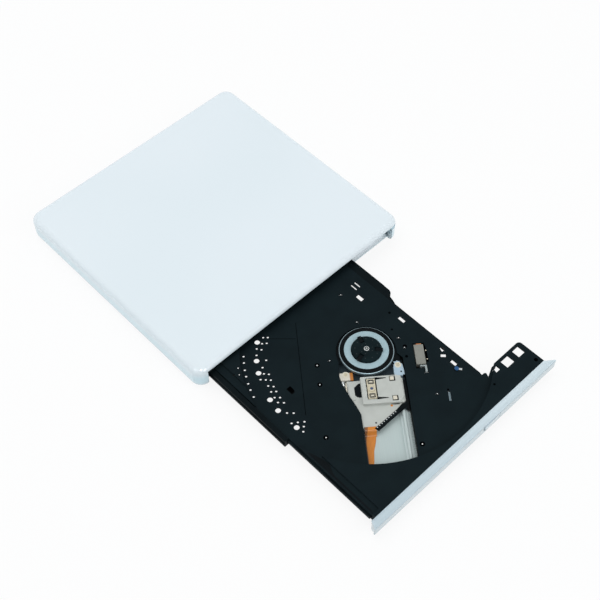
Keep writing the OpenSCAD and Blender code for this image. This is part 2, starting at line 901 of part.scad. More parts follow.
module tray() {
    plan_z = drawer_z + 0.3;
    shelf_in = recess_r + tray_wall;
    pit_r = 1;
    pit_d = 0.35;
    solenoid_cut = [solenoid_u - 1, solenoid_wc - solenoid_w / 2 - pocket_gap];
    solenoid_end = [solenoid_u + solenoid_l + 2.2, solenoid_wc + solenoid_w / 2 + pocket_gap];
    color("#1a2528") at_drawer() {
        tray_posts();
        difference() {
            union() {
                // Deck and the shelf skins
                plate(deck_under, shelf_z - deck_under) deck_patch();
                plate(shelf_under - 0.2, shelf_z - shelf_under + 0.2) bracket_patch();
                // The recess floor runs on over the bracket, clear of the rail below
                plate(deck_under + running, shelf_z - deck_under - running) intersection() {
                    bracket_patch();
                    translate([spindle_x, spindle_y]) circle(shelf_in);
                }
                // Upright walls
                span([tray_left, tray_front, plan_z], [tray_left + tray_wall, tray_back, rim_z]);
                span([tray_right - tray_wall, tray_front, plan_z], [tray_right, tray_back, deck_z]);
                span([tray_left, tray_back - tray_wall, plan_z], [tray_right, tray_back, deck_z]);
                span(
                    [tray_left - rib - 0.6, tray_front, plan_z],
                    [bracket_x, tray_front + tray_wall, shelf_z]
                );
                span(
                    [bracket_x - tray_wall, tray_front, plan_z + 2],
                    [bracket_x, bracket_back - 3, shelf_z]
                );
                // Runners that ride in the rails
                span(
                    [tray_left - rib, tray_front + 3, groove_z + rib_in],
                    [tray_left + tray_wall, tray_back, groove_z + groove_h - rib_in]
                );
                span(
                    [tray_right - tray_wall, bracket_back + 2, right_groove_z + rib_in],
                    [tray_right + rib, tray_back, right_groove_z + right_groove_h - rib_in]
                );
                tray_underside();
            }
            // Disc recess, lower rim on the left, open underside of the shelf
            translate([spindle_x, spindle_y, deck_z]) cylinder(r = recess_r, h = shelf_z);
            span(
                [tray_left - past, tray_front + 2.5, rim_z],
                [tray_left + 4, tray_back + past, shelf_z + past]
            );
            difference() {
                span(
                    [tray_left + tray_wall, tray_front + tray_wall, deck_under - 0.01],
                    [tray_right - tray_wall, tray_back - tray_wall, shelf_under]
                );
                translate([spindle_x, spindle_y, deck_under - past]) cylinder(r = shelf_in, h = shelf_z);
                span([tray_left, tray_front, deck_under - past], [tray_left + 5, tray_back, shelf_z]);
            }
            translate([spindle_x, spindle_y, 0]) {
                plate(deck_under - past, shelf_under - deck_under + past) intersection() {
                    pickup_opening();
                    circle(recess_r + 2 * tray_wall);
                }
                plate(deck_under - past, shelf_z) vent_holes();
                for (win = deck_windows) translate([win[0][0], win[0][1], deck_under - past])
                    rotate([0, 0, win[2]]) translate([-win[1][0] / 2, -win[1][1] / 2, 0])
                        cube([win[1][0], win[1][1], shelf_z]);
                for (p = deck_pits) translate([p[0], p[1], deck_z - pit_d]) cylinder(r = pit_r, h = past);
                translate([deck_pocket[0], deck_pocket[1], deck_z - pit_d])
                    cube([pocket_size[0], pocket_size[1], past]);
                for (p = deck_screw_spots) translate([p[0], p[1], deck_under - past])
                    cylinder(r = deck_screw_r + running, h = shelf_z);
                rotate([0, 0, slide_turn]) {
                    plate(solenoid_z - seat, shelf_z) patch(solenoid_cut, solenoid_end);
                    plate(deck_under - past, shelf_z)
                        patch([link_u - 1.4, solenoid_wc + 1], [link_u + 0.8, solenoid_wc + 2.7]);
                }
            }
            plate(deck_under - past, shelf_z) bracket_windows();
            // Way for the button's stem, and the bore of the latch pivot
            span(
                [stem_x[0] - button_gap, tray_front - past, button_bottom - button_gap],
                [stem_x[1] + button_gap, tray_front + tray_wall + past, button_bottom + stem_h + button_gap]
            );
            translate([latch_x, latch_y, drawer_z - past])
                cylinder(d = pivot_d + 2 * running, h = deck_rise + 2 * past);
        }
    }
}

// Underside that carries a post this far from the spindle
function carrier_z(r) = r < recess_r ? deck_under : shelf_under;

// Posts for the boards and the mechanism cover, up to the skin that carries them
module tray_posts() {
    for (p = drawer_board_holes) translate([p[0], p[1], drawer_board_z + board_t + touch])
        cylinder(r = post_r, h = carrier_z(norm(p - [spindle_x, spindle_y])) - drawer_board_z - board_t);
    for (p = switch_posts) translate([p[0], p[1], switch_z + board_t + touch])
        cylinder(r = post_r, h = carrier_z(norm(p - [spindle_x, spindle_y])) - switch_z - board_t);
    translate([spindle_x, spindle_y, cover_top + touch]) rotate([0, 0, slide_turn])
        for (p = cover_posts) translate(p) cylinder(r = post_r, h = carrier_z(norm(p)) - cover_top);
}

// Pocket, boss and wall under the deck
module tray_underside() {
    latch_boss_r = pivot_d / 2 + 0.8;
    floor_t_pocket = 0.6;
    slot_wall_short = 4.6;
    pocket_wall = 0.8;
    pocket_from = [solenoid_u - 1 - pocket_wall, solenoid_wc - solenoid_w / 2 - pocket_gap - pocket_wall];
    pocket_to = [
        solenoid_u + solenoid_l + 2.2 + pocket_wall,
        solenoid_wc + solenoid_w / 2 + pocket_gap + pocket_wall
    ];
    translate([latch_x, latch_y, link_z + link_t + 0.9])
        cylinder(r = latch_boss_r, h = deck_z - link_z - link_t - 1);
    translate([spindle_x, spindle_y, 0]) rotate([0, 0, slide_turn]) {
        plate(cover_top + seat, deck_under - cover_top)
            patch([bridge_from + 1, slot_right], [recess_r - slot_wall_short, slot_right + tray_wall]);
        plate(solenoid_z - seat - floor_t_pocket, deck_under - solenoid_z + seat + 0.7)
            patch(pocket_from, pocket_to);
    }
}

// The bezel's section: sloped top, upright front band, drawn-in underside
module bezel_section() {
    top = shelf_z + 0.7;
    band_top = deck_z + 1.3;
    polygon([
        [bezel_back, top], [bezel_front + 0.5, band_top + 0.25], [bezel_front + 0.15, band_top],
        [bezel_front, band_top - 0.4], [bezel_front, band_top - bezel_band + 0.3],
        [bezel_front + 0.2, band_top - bezel_band], [bezel_back - 1.3, drawer_z - 0.7],
        [bezel_back, drawer_z - 0.7]
    ]);
}

module front_bezel() {
    left_end = -mouth_w / 2 + 0.6;
    right_end = mouth_w / 2 - 1.4;
    left_flare = 1.1;
    right_flare = 4.9;
    color("white") at_drawer() difference() {
        intersection() {
            translate([left_end, 0, 0]) rotate([90, 0, 90]) linear_extrude(right_end - left_end)
                bezel_section();
            plate(0, case_top) polygon([
                [left_end, bezel_front - past], [right_end, bezel_front - past],
                [right_end, bezel_front + 0.4],
                [right_end - right_flare, bezel_back + touch], [left_end + left_flare, bezel_back + touch],
                [left_end, bezel_front + 0.4]
            ]);
        }
        span(
            [button_x - button_gap, bezel_front - past, button_bottom - button_gap],
            [
                button_x + button_l + button_gap,
                button_front + button_depth + button_travel + button_gap,
                button_bottom + button_h + button_gap
            ]
        );
        span(
            [stem_x[0] - button_gap, bezel_front, button_bottom - button_gap],
            [stem_x[1] + button_gap, bezel_back + past, button_bottom + stem_h + button_gap]
        );
    }
}

module eject_button() {
    back = button_front + button_depth;
    color("gainsboro") at_drawer() {
        plate(button_bottom, button_h) polygon([
            [button_x, button_front + 0.25], [button_x + 0.4, button_front], [button_x + 2, button_front],
            [button_x + button_l, bezel_front], [button_x + button_l, back], [button_x, back]
        ]);
        span([stem_x[0], back - 0.5, button_bottom], [stem_x[1], stem_back, button_bottom + stem_h]);
    }
}

module switch_board() {
    from_y = tray_front + tray_wall + 0.4;
    color("darkgreen") at_drawer() span(
        [switch_board_x[0], from_y, switch_z],
        [switch_board_x[1], from_y + switch_board_d, switch_z + board_t]
    );
}

module eject_switch() {
    mid = (stem_x[0] + stem_x[1]) / 2;
    from_y = stem_back + button_travel + 1;
    color("black") at_drawer() {
        span(
            [mid - 2.5, from_y, switch_z + board_t + touch],
            [mid + 2.5, from_y + 2.6, switch_z + board_t + 1.7]
        );
        span(
            [mid - 1, from_y - 0.8, button_bottom + 0.1],
            [mid + 1, from_y + 0.5, button_bottom + stem_h - 0.2]
        );
    }
}

module deck_screws() {
    head_h = 0.25;
    color("silver") for (p = deck_screw_spots) at_spindle() translate([p[0], p[1], deck_under - 0.8])
        cylinder(r = deck_screw_r, h = skin_t + 0.8 + head_h);
}

module drawer_board() {
    color("darkgreen") at_drawer() difference() {
        span(
            [drawer_board_x[0], drawer_board_y[0], drawer_board_z],
            [drawer_board_x[1], drawer_board_y[1], drawer_board_z + board_t]
        );
        for (p = drawer_board_holes) translate([p[0], p[1], drawer_board_z - past])
            cylinder(r = board_screw_r + running, h = 3 * past);
    }
}

module drawer_chips() {
    chip_h = 0.8;
    chip_z = drawer_board_z - chip_h - touch;
    board_w = drawer_board_x[1] - drawer_board_x[0];
    board_d = drawer_connector_y - drawer_board_y[0] - 1;
    small_w = board_w / 30;
    color("black") at_drawer() translate([drawer_board_x[0], drawer_board_y[0], chip_z]) {
        translate([board_w / 4, board_d / 4, 0]) cube([board_w / 3, board_d * 0.4, chip_h]);
        translate([board_w * 0.68, board_d / 5, 0]) cube([board_w / 5, board_d * 0.3, chip_h]);
        translate([board_w * 0.7, board_d * 0.62, 0]) cube([board_w / 7, board_d / 6, chip_h]);
        for (i = [0 : 4]) translate([board_w / 5 + 2 * small_w * i, board_d * 0.8, 0])
            cube([small_w, 2 * small_w, chip_h]);
    }
}

module drawer_connector() {
    color("ivory") at_drawer() span(
        [cable_x - cable_w / 2 - 1, drawer_connector_y, cable_high + seat],
        [cable_x + cable_w / 2 + 1, drawer_connector_y + connector_d, drawer_board_z - touch]
    );
}

module drawer_board_screws() {
    head_r = 1.3;
    head_h = 0.5;
    color("silver") at_drawer() for (p = drawer_board_holes)
        translate([p[0], p[1], drawer_board_z - touch - head_h]) {
            cylinder(r = head_r, h = head_h);
            cylinder(r = board_screw_r, h = head_h + board_t);
        }
}

module mechanism_cover() {
    hub_r = turntable_d / 2 + 2.2;
    tail = [lead_w - stepper_half - 0.7, left_arm[1]];
    color("lightgray") on_slide(drawer_z) linear_extrude(sheet_t) difference() {
        union() {
            circle(hub_r);
            patch([0, cover_left], [cover_end, cover_right]);
            patch([cover_end - 10, tail[0]], [stepper_end + 0.4, tail[1]]);
        }
        for (p = cover_posts) translate(p) circle(cover_screw_r + running);
    }
}

module cover_screws() {
    head_r = 1.1;
    head_h = 0.25;
    color("silver") for (p = cover_posts) on_slide(drawer_z - head_h - 0.01) translate(p) {
        cylinder(r = head_r, h = head_h);
        cylinder(r = cover_screw_r, h = head_h + sheet_t);
    }
}

module traverse_frame() {
    hub_r = turntable_d / 2 + 0.3;
    tail_from = main_end - 14;
    tail_w = main_rod_w - clamp_half + 0.1;
    color("#b0bcc0") on_slide(frame_z) linear_extrude(frame_t) {
        circle(hub_r);
        patch([bridge_from, bridge_side[0]], [bridge_to, bridge_side[1]]);
        patch([bridge_from, left_arm[0]], [tail_from + 1, left_arm[1]]);
        patch([tail_from, tail_w], [main_end, left_arm[1]]);
        patch([bridge_from, right_arm[0]], [sub_end - 1.9, right_arm[1]]);
        patch([sub_end - 2.9, sub_rod_w - clamp_half], [sub_end, sub_rod_w + clamp_half]);
    }
}

module guide_rods() {
    rods = [[main_rod_from, main_rod_to, main_rod_w], [sub_rod_from, sub_rod_to, sub_rod_w]];
    color("silver") for (rod = rods) on_slide(rod_z) translate([rod[0], rod[2], 0]) rotate([0, 90, 0])
        cylinder(r = rod_r, h = rod[1] - rod[0]);
}

// Blocks that hold the rod ends; the inner left one also bears the lead screw's tip
module rod_clamps() {
    clamp_z = frame_top + touch;
    lead_half = 1.2;
    main_half = 1.5;
    inner_from = main_rod_from - 2;
    inner_to = main_rod_from + 2.1;
    tail_w = main_rod_w - clamp_half + 0.1;
    color("#c8d4dc") difference() {
        on_slide() {
            span([inner_from, lead_w - lead_half, clamp_z], [inner_to, main_rod_w + main_half, clamp_top]);
            span([main_end - main_clamp_l, tail_w, clamp_z], [main_end, left_arm[1] - 0.1, clamp_top]);
            plate(clamp_z, clamp_top - clamp_z) translate([sub_rod_from, sub_rod_w]) polygon(ear_outline);
            span(
                [sub_end - clamp_half, sub_rod_w - clamp_half, clamp_z],
                [sub_end, sub_rod_w + clamp_half, clamp_top]
            );
        }
        on_slide(rod_z) {
            translate([main_rod_from - seat, main_rod_w, 0]) rotate([0, 90, 0])
                cylinder(r = rod_r + touch, h = main_rod_to - main_rod_from + 2 * seat);
            translate([sub_rod_from - seat, sub_rod_w, 0]) rotate([0, 90, 0])
                cylinder(r = rod_r + touch, h = sub_rod_to - sub_rod_from + 2 * seat);
        }
        on_slide(lead_z) translate([lead_from - journal_l - seat, lead_w, 0]) rotate([0, 90, 0])
            cylinder(r = journal_r + running, h = journal_l + past);
        for (p = clamp_screw_spots) on_slide(frame_top) translate(p)
            cylinder(r = cover_screw_r + running, h = deck_z);
    }
}

clamp_screw_spots = [[main_rod_from - 1, main_rod_w - 1.9], [sub_rod_from - 3.5, sub_rod_w + 0.6]];
clamp_top = deck_under - 0.2;
// Outline of the right inner clamp, from the sub rod's end
ear_outline = [[-6, 0.4], [-2.5, -1.7], [2.1, -1.7], [2.5, 2.2], [-1.5, 2.8], [-6, 1.4]];

module clamp_screws() {
    head_r = 1.1;
    head_h = 0.4;
    shank_l = 1.2;
    color("silver") for (p = clamp_screw_spots) on_slide(clamp_top + touch) translate(p) {
        cylinder(r = head_r, h = head_h);
        translate([0, 0, -shank_l]) cylinder(r = cover_screw_r, h = shank_l + head_h);
    }
}

module stepper_motor() {
    flat_half = stepper_half - stepper_h / 2;
    from_u = stepper_end - stepper_l;
    color("silver") on_slide(cover_top + seat) difference() {
        translate([from_u, lead_w, 0]) {
            span([0, -flat_half, 0], [stepper_l, flat_half, stepper_h]);
            for (side = [-1, 1]) translate([0, side * flat_half, stepper_h / 2])
                rotate([0, 90, 0]) cylinder(d = stepper_h, h = stepper_l);
        }
        translate([from_u - past, lead_w, lead_z - cover_top - seat]) rotate([0, 90, 0])
            cylinder(r = journal_r + running, h = journal_l + 2 * past);
    }
}

module lead_screw() {
    color("gray") on_slide(lead_z) {
        translate([lead_from, lead_w, 0]) rotate([0, 90, 0]) cylinder(d = lead_d, h = lead_to - lead_from);
        translate([lead_from - journal_l, lead_w, 0]) rotate([0, 90, 0])
            cylinder(r = journal_r, h = lead_to - lead_from + 2 * journal_l);
    }
}

module spindle_motor() {
    base_r = 11.8;
    base_h = 0.5;
    stator_r = turntable_d / 2 - 1.8;
    stator_in = 5;
    sleeve_r = 3;
    motor_z = frame_top + touch;
    stator_top = table_top - 1.2;
    color("dimgray") at_spindle(motor_z) rotate_extrude() {
        translate([shaft_d / 2 + running, 0]) square([base_r - shaft_d / 2 - running, base_h]);
        translate([stator_in, 0]) square([stator_r - stator_in, stator_top - motor_z]);
        translate([shaft_d / 2 + running, 0])
            square([sleeve_r - shaft_d / 2 - running, stator_top - motor_z]);
    }
}

// The orange flex: a riser behind the pickup, then a flat run on the mechanism cover
module pickup_flex() {
    flex_t = 0.12;
    tail_u = lens_r + pickup_outline[5][0] + 0.15;
    side = [pickup_outline[4][1], pickup_outline[5][1]];
    low = cover_top + seat;
    rise = body_z + 1.2 - low;
    end_u = recess_r - 0.6;
    color("#cd8228") {
        on_slide(low) linear_extrude(flex_t) polygon([
            [tail_u + flex_t, side[0]], [tail_u + flex_t, side[1]], [tail_u + 6, side[1] - 1.5],
            [end_u, side[1] - 2.8], [end_u, side[0]]
        ]);
        on_slide(low) span([tail_u, side[0], 0], [tail_u + 2 * flex_t, side[1], rise]);
    }
}

module turntable() {
    cup_t = 0.8;
    bore_r = shaft_d / 2 + touch;
    color("#a8b4ba") at_spindle(table_z) rotate_extrude() {
        translate([bore_r, turntable_h - cup_t]) square([turntable_d / 2 - bore_r, cup_t]);
        translate([turntable_d / 2 - cup_t, 0]) square([cup_t, turntable_h]);
    }
}

module ring(r_out, r_in, z, h) {
    at_spindle(z) difference() {
        cylinder(r = r_out, h = h);
        translate([0, 0, -past]) cylinder(r = r_in, h = h + 2 * past);
    }
}

module rubber_ring() {
    color("#141414") ring(turntable_d / 2 - 0.5, hub_d / 2 + 3.4, table_top + 0.01, 0.3);
}

module clamp_ring() {
    color("#9bb9be") ring(hub_d / 2 + 3.35, hub_d / 2 + 0.1, table_top + 0.01, 0.15);
}

// Claw sizes, shared by the hub's slots
claw_w = 2;
claw_in = 4.4;
claw_h = 0.55;
claw_z = table_top + 0.75;
claw_turns = [73, 193, 313];
// How far a claw stands out of the hub
claw_out = 0.4;

module hub() {
    bore_r = shaft_d / 2 + touch;
    r = hub_d / 2;
    slope = 0.5;
    base_z = table_top + 0.01;
    color("#101416") difference() {
        at_spindle(base_z) rotate_extrude() polygon([
            [bore_r, 0], [r, 0], [r, hub_h - slope - 0.2], [r - slope, hub_h - 0.01], [bore_r, hub_h - 0.01]
        ]);
        for (turn = claw_turns) at_spindle(claw_z - 0.1) rotate([0, 0, turn])
            translate([claw_in - claw_travel - 0.2, -claw_w / 2 - 0.15, 0])
                cube([hub_d, claw_w + 0.3, hub_h]);
    }
}

module spindle_shaft() {
    hole_r = 0.4;
    shaft_z = frame_top + 0.1;
    color("silver") at_spindle(shaft_z) difference() {
        cylinder(d = shaft_d, h = shaft_top - shaft_z);
        translate([0, 0, shaft_top - shaft_z - 1]) cylinder(r = hole_r, h = 1 + past);
    }
}

module claw(turn) {
    color("#181c1e") at_spindle(claw_z) rotate([0, 0, turn]) intersection() {
        translate([claw_in, -claw_w / 2, 0]) cube([hub_d / 2, claw_w, claw_h]);
        cylinder(r = hub_d / 2 + claw_out, h = claw_h);
    }
}

module claw_a() {
    claw(claw_turns[0]);
}

module claw_b() {
    claw(claw_turns[1]);
}

module claw_c() {
    claw(claw_turns[2]);
}

// Outlines of the pickup, from the lens: body, cut beside the lens, cover
pickup_outline = [
    [-5.6, 15.3], [-5.6, -11.2], [1.7, -11], [12.2, -7.4], [20.5, -5.9], [20.5, -0.9],
    [11.6, 10.4], [6.7, 15.3]
];
kidney_outline = [[-3.2, -5.2], [-1.3, -7.4], [1.6, -7.8], [3.8, -5.9], [3, -5]];
pickup_cover_outline = [[-6.6, -4.7], [8.1, -4.9], [8.2, 12.4], [5.4, 14.6], [-5.6, 14.4], [-6.6, 12.4]];
pickup_block = [[-6.4, -4.8], [8, 14.4]];

// Window around the lens holder, shared by the pickup body and its cover
holder_half_u = 5.3;
holder_half_w = 2;
holder_gap = 0.4;
holder_top = pickup_cover_z + 0.3;

module holder_window() {
    window = [2 * (holder_half_u + holder_gap), 2 * (holder_half_w + holder_gap)];
    translate([lens_r, 0]) square(window, center = true);
}

module pickup_body() {
    lug_z = cover_top + 0.65;
    lug_top = deck_under - 0.15;
    lug_half_u = 4.8;
    lug_side = [main_rod_w - 1.2, main_rod_w + 1.3];
    bore_l = pickup_outline[5][0] + lens_r;
    color("#b4b6b1") difference() {
        on_slide() translate([lens_r, 0, 0]) {
            plate(body_z, body_low - body_z) polygon(pickup_outline);
            plate(body_z, body_top - body_z) patch(pickup_block[0], pickup_block[1]);
            span([-lug_half_u, lug_side[0], lug_z], [lug_half_u, lug_side[1], lug_top]);
        }
        on_slide(body_z + 0.6) linear_extrude(deck_z) holder_window();
        on_slide(body_low - 0.8) linear_extrude(deck_z) translate([lens_r, 0]) polygon(kidney_outline);
        for (w = [main_rod_w, sub_rod_w]) on_slide(rod_z) translate([0, w, 0]) rotate([0, 90, 0])
            cylinder(r = rod_r + running, h = bore_l);
    }
}

module pickup_cover() {
    hole = 2.8;
    hole_spots = [[-4.8, 10.3], [5.8, 10.5]];
    slit = [[4.6, holder_half_w], [6, holder_half_w], [5.6, 7.4], [5.2, 7.4]];
    color("#c4c6c2") on_slide(pickup_cover_z) linear_extrude(pickup_cover_t) difference() {
        translate([lens_r, 0]) polygon(pickup_cover_outline);
        holder_window();
        for (p = hole_spots) translate([lens_r + p[0], p[1]]) square(hole, center = true);
        for (side = [-1, 1]) translate([lens_r, 0]) polygon([for (p = slit) [side * p[0], p[1]]]);
    }
}

module nut_follower() {
    tooth_t = 0.35;
    tooth_l = 0.6;
    pitch = 1.5;
    nut_h = 1.2;
    from_u = lens_r - 5;
    to_u = lens_r + 4;
    tooth_w = lead_w + lead_d / 2 + 0.1;
    back_w = pickup_outline[1][1] - seat;
    color("ivory") on_slide(lead_z - nut_h / 2) {
        span([from_u, tooth_w + tooth_t - 0.15, 0], [to_u, back_w, nut_h]);
        for (i = [0 : 3]) translate([from_u + pitch * (i + 1), tooth_w, 0]) cube([tooth_l, tooth_t, nut_h]);
    }
}

module lens_holder() {
    holder_z = body_top - 1.1;
    hole = 1.9;
    hole_u = 3.7;
    color("#8a8474") on_slide(holder_z) linear_extrude(holder_top - holder_z)
        translate([lens_r, 0]) difference() {
            square([2 * holder_half_u, 2 * holder_half_w], center = true);
            for (side = [-1, 1]) translate([side * hole_u, 0]) square(hole, center = true);
            circle(d = lens_d + 2 * running);
        }
}

module lens() {
    rim_t = 0.8;
    dome = 0.3;
    dome_r = (pow(lens_d / 2, 2) + dome * dome) / (2 * dome);
    color("steelblue") on_slide(holder_top - rim_t) translate([lens_r, 0, 0]) {
        cylinder(d = lens_d, h = rim_t);
        translate([0, 0, rim_t + dome - dome_r]) intersection() {
            sphere(dome_r);
            translate([0, 0, dome_r - dome - 0.1]) cylinder(d = lens_d - touch, h = 1);
        }
    }
}

module solenoid() {
    color("#a8a8a4") on_slide(solenoid_z) difference() {
        translate([solenoid_u, solenoid_wc - solenoid_w / 2, 0]) cube([solenoid_l, solenoid_w, solenoid_h]);
        translate([solenoid_u + 4, solenoid_wc, solenoid_h / 2]) rotate([0, 90, 0])
            cylinder(r = plunger_r + running, h = solenoid_l);
    }
}

module solenoid_coil() {
    coil_t = 0.68;
    color("#b87848") on_slide(solenoid_z + 0.3)
        translate([solenoid_u - coil_t - touch, solenoid_wc - solenoid_w / 2 + 1, 0])
            cube([coil_t, solenoid_w - 1.6, solenoid_h - 0.7]);
}

module solenoid_plunger() {
    out_u = solenoid_u + solenoid_l + 0.8;
    tail_from = solenoid_wc + 1.4;
    tail_to = tail_from + 0.9;
    tail_t = 0.4;
    tail_z = deck_z + 0.15;
    rod_mid = solenoid_z + solenoid_h / 2;
    rod_u = solenoid_u + 5.5;
    color("silver") {
        on_slide(rod_mid) translate([rod_u, solenoid_wc, 0]) rotate([0, 90, 0])
            cylinder(r = plunger_r, h = out_u + 0.5 - rod_u);
        on_slide() {
            span(
                [out_u, solenoid_wc - plunger_r, rod_mid - plunger_r],
                [out_u + 0.6, tail_to, tail_z + tail_t]
            );
            span([out_u, tail_from, tail_z], [link_u + link_half, tail_to, tail_z + tail_t]);
            span([link_u - link_half, tail_from, link_z], [link_u + link_half, tail_to, tail_z + tail_t]);
            span([link_u - link_half, tail_from, link_z], [link_u + link_half, link_end, link_z + link_t]);
        }
    }
}

// The latch arm under the drawer, its pivot through the deck and its short lever on top
module latch_lever() {
    arm_half = 0.8;
    nose_l = 1.3;
    nose_w = 1.5;
    crank_l = 2.6;
    release_l = 16;
    release_turn = 209;
    color("silver") at_drawer() translate([latch_x, latch_y, 0]) {
        plate(latch_z, latch_t) {
            circle(1.3);
            patch([-arm_half, 0], [arm_half, latch_arm]);
            patch([-arm_half, latch_arm - nose_w], [arm_half + nose_l - 0.8, latch_arm]);
        }
        translate([0, 0, latch_z]) cylinder(d = pivot_d, h = deck_z + 0.2 - latch_z);
        plate(link_z, link_t) {
            circle(1.3);
            rotate(slide_turn) patch([-0.5, -crank_l], [0.5, 0]);
            rotate(release_turn) patch([0, -0.9], [release_l, 0.9]);
        }
        plate(deck_z + 0.1, 0.3) rotate(-50) patch([-0.5, -0.5], [2.6, 0.5]);
    }
}

module latch_cap() {
    color("royalblue") at_drawer() translate([latch_x, latch_y, deck_z + 0.42]) cylinder(r = 1.1, h = 0.45);
}

top_cover();
bottom_case();
rubber_feet();
case_screws();
lower_chassis();
top_plate();
chassis_screws();
main_board();
main_board_chips();
main_board_screws();
main_connector();
usb_socket();
left_guide();
right_guide();
lock_pin();
flat_cable();
left_rail();
right_rail();
tray();
front_bezel();
eject_button();
switch_board();
eject_switch();
deck_screws();
drawer_board();
drawer_chips();
drawer_connector();
drawer_board_screws();
mechanism_cover();
cover_screws();
traverse_frame();
guide_rods();
rod_clamps();
clamp_screws();
stepper_motor();
lead_screw();
spindle_motor();
pickup_flex();
turntable();
rubber_ring();
clamp_ring();
hub();
spindle_shaft();
claw_a();
claw_b();
claw_c();
pickup_body();
pickup_cover();
nut_follower();
lens_holder();
lens();
solenoid();
solenoid_coil();
solenoid_plunger();
latch_lever();
latch_cap();
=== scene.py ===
# %% [markdown]
# # A slim disc drive with its drawer pulled out
#
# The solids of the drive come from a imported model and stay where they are. This lesson dresses
# them. It sets up the camera and the light, writes one finish for each real material, rounds the
# moulded edges, and adds the small pieces that a plain solid lacks: ribbons, windings, threads,
# screw heads and rubber pads. The sizes of pieces and finishes are in millimetres and become metres
# when a mesh is made. The places of the floor and the lamps are in metres.

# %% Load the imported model
import json
import math

import bmesh
import bpy
import numpy as np
from mathutils import Matrix, Vector


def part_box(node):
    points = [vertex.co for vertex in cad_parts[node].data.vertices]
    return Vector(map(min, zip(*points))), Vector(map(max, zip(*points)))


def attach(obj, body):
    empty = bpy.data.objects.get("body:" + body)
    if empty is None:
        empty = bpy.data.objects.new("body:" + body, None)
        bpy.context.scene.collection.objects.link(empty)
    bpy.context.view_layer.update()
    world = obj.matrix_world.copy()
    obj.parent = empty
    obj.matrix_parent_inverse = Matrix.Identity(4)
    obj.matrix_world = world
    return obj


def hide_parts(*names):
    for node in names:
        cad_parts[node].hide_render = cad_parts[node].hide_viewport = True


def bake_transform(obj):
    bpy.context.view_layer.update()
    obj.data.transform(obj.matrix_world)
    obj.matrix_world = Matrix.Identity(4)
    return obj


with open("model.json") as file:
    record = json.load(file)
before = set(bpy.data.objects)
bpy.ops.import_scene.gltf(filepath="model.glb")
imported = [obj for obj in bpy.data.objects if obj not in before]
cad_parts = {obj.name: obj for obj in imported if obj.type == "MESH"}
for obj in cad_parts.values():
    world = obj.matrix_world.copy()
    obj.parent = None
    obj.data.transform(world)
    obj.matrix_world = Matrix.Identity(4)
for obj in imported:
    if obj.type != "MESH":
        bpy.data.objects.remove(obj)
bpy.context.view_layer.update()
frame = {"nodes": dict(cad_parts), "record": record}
nodes = frame["nodes"]
MM = 0.001


def box_of(node):
    """The low and the high corner of a solid, in millimetres."""
    return [np.array(corner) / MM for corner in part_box(node)]


print("solids loaded:", len(nodes))

# %% [markdown]
# ## Camera
#
# The picture is taken from above the front left corner. The place of the camera follows from the
# corners of the case: their sides are parallel, so where they seem to meet gives the direction
# and the lens. It could be set by eye, but a worked out camera lets every later step be compared
# edge by edge.

# %% Set the camera
scene = bpy.context.scene
LOOK_AT = Vector((2.609, -60.656, 0)) * MM
AZIMUTH = math.radians(-43.7346)
ELEVATION = math.radians(54.6271)
ROLL = math.radians(-0.163)
DISTANCE = 553.245 * MM

outward = Vector((
    math.sin(AZIMUTH) * math.cos(ELEVATION),
    -math.cos(AZIMUTH) * math.cos(ELEVATION),
    math.sin(ELEVATION),
))
camera_data = bpy.data.cameras.new("camera")
camera_data.sensor_width = 36
camera_data.lens = 65.875
camera_data.clip_start = 0.01
camera_data.clip_end = 20
camera = bpy.data.objects.new("camera", camera_data)
camera.location = LOOK_AT + outward * DISTANCE
aim = (-outward).to_track_quat("-Z", "Y").to_matrix()
camera.rotation_euler = (aim @ Matrix.Rotation(ROLL, 3, "Z")).to_euler()
scene.collection.objects.link(camera)
scene.camera = camera
scene.view_settings.view_transform = "Standard"
print("camera at", [round(c, 3) for c in camera.location])

# %% [markdown]
# ## A small language for finishes
#
# A finish is a tree of shader nodes. Wiring it by hand takes many lines, so one class wraps an
# output socket: adding or multiplying two of them adds a Math node, and one method makes any
# other node. A formula then reads as it would on paper. Colours go through Mix nodes, because a
# Math node would turn them grey.

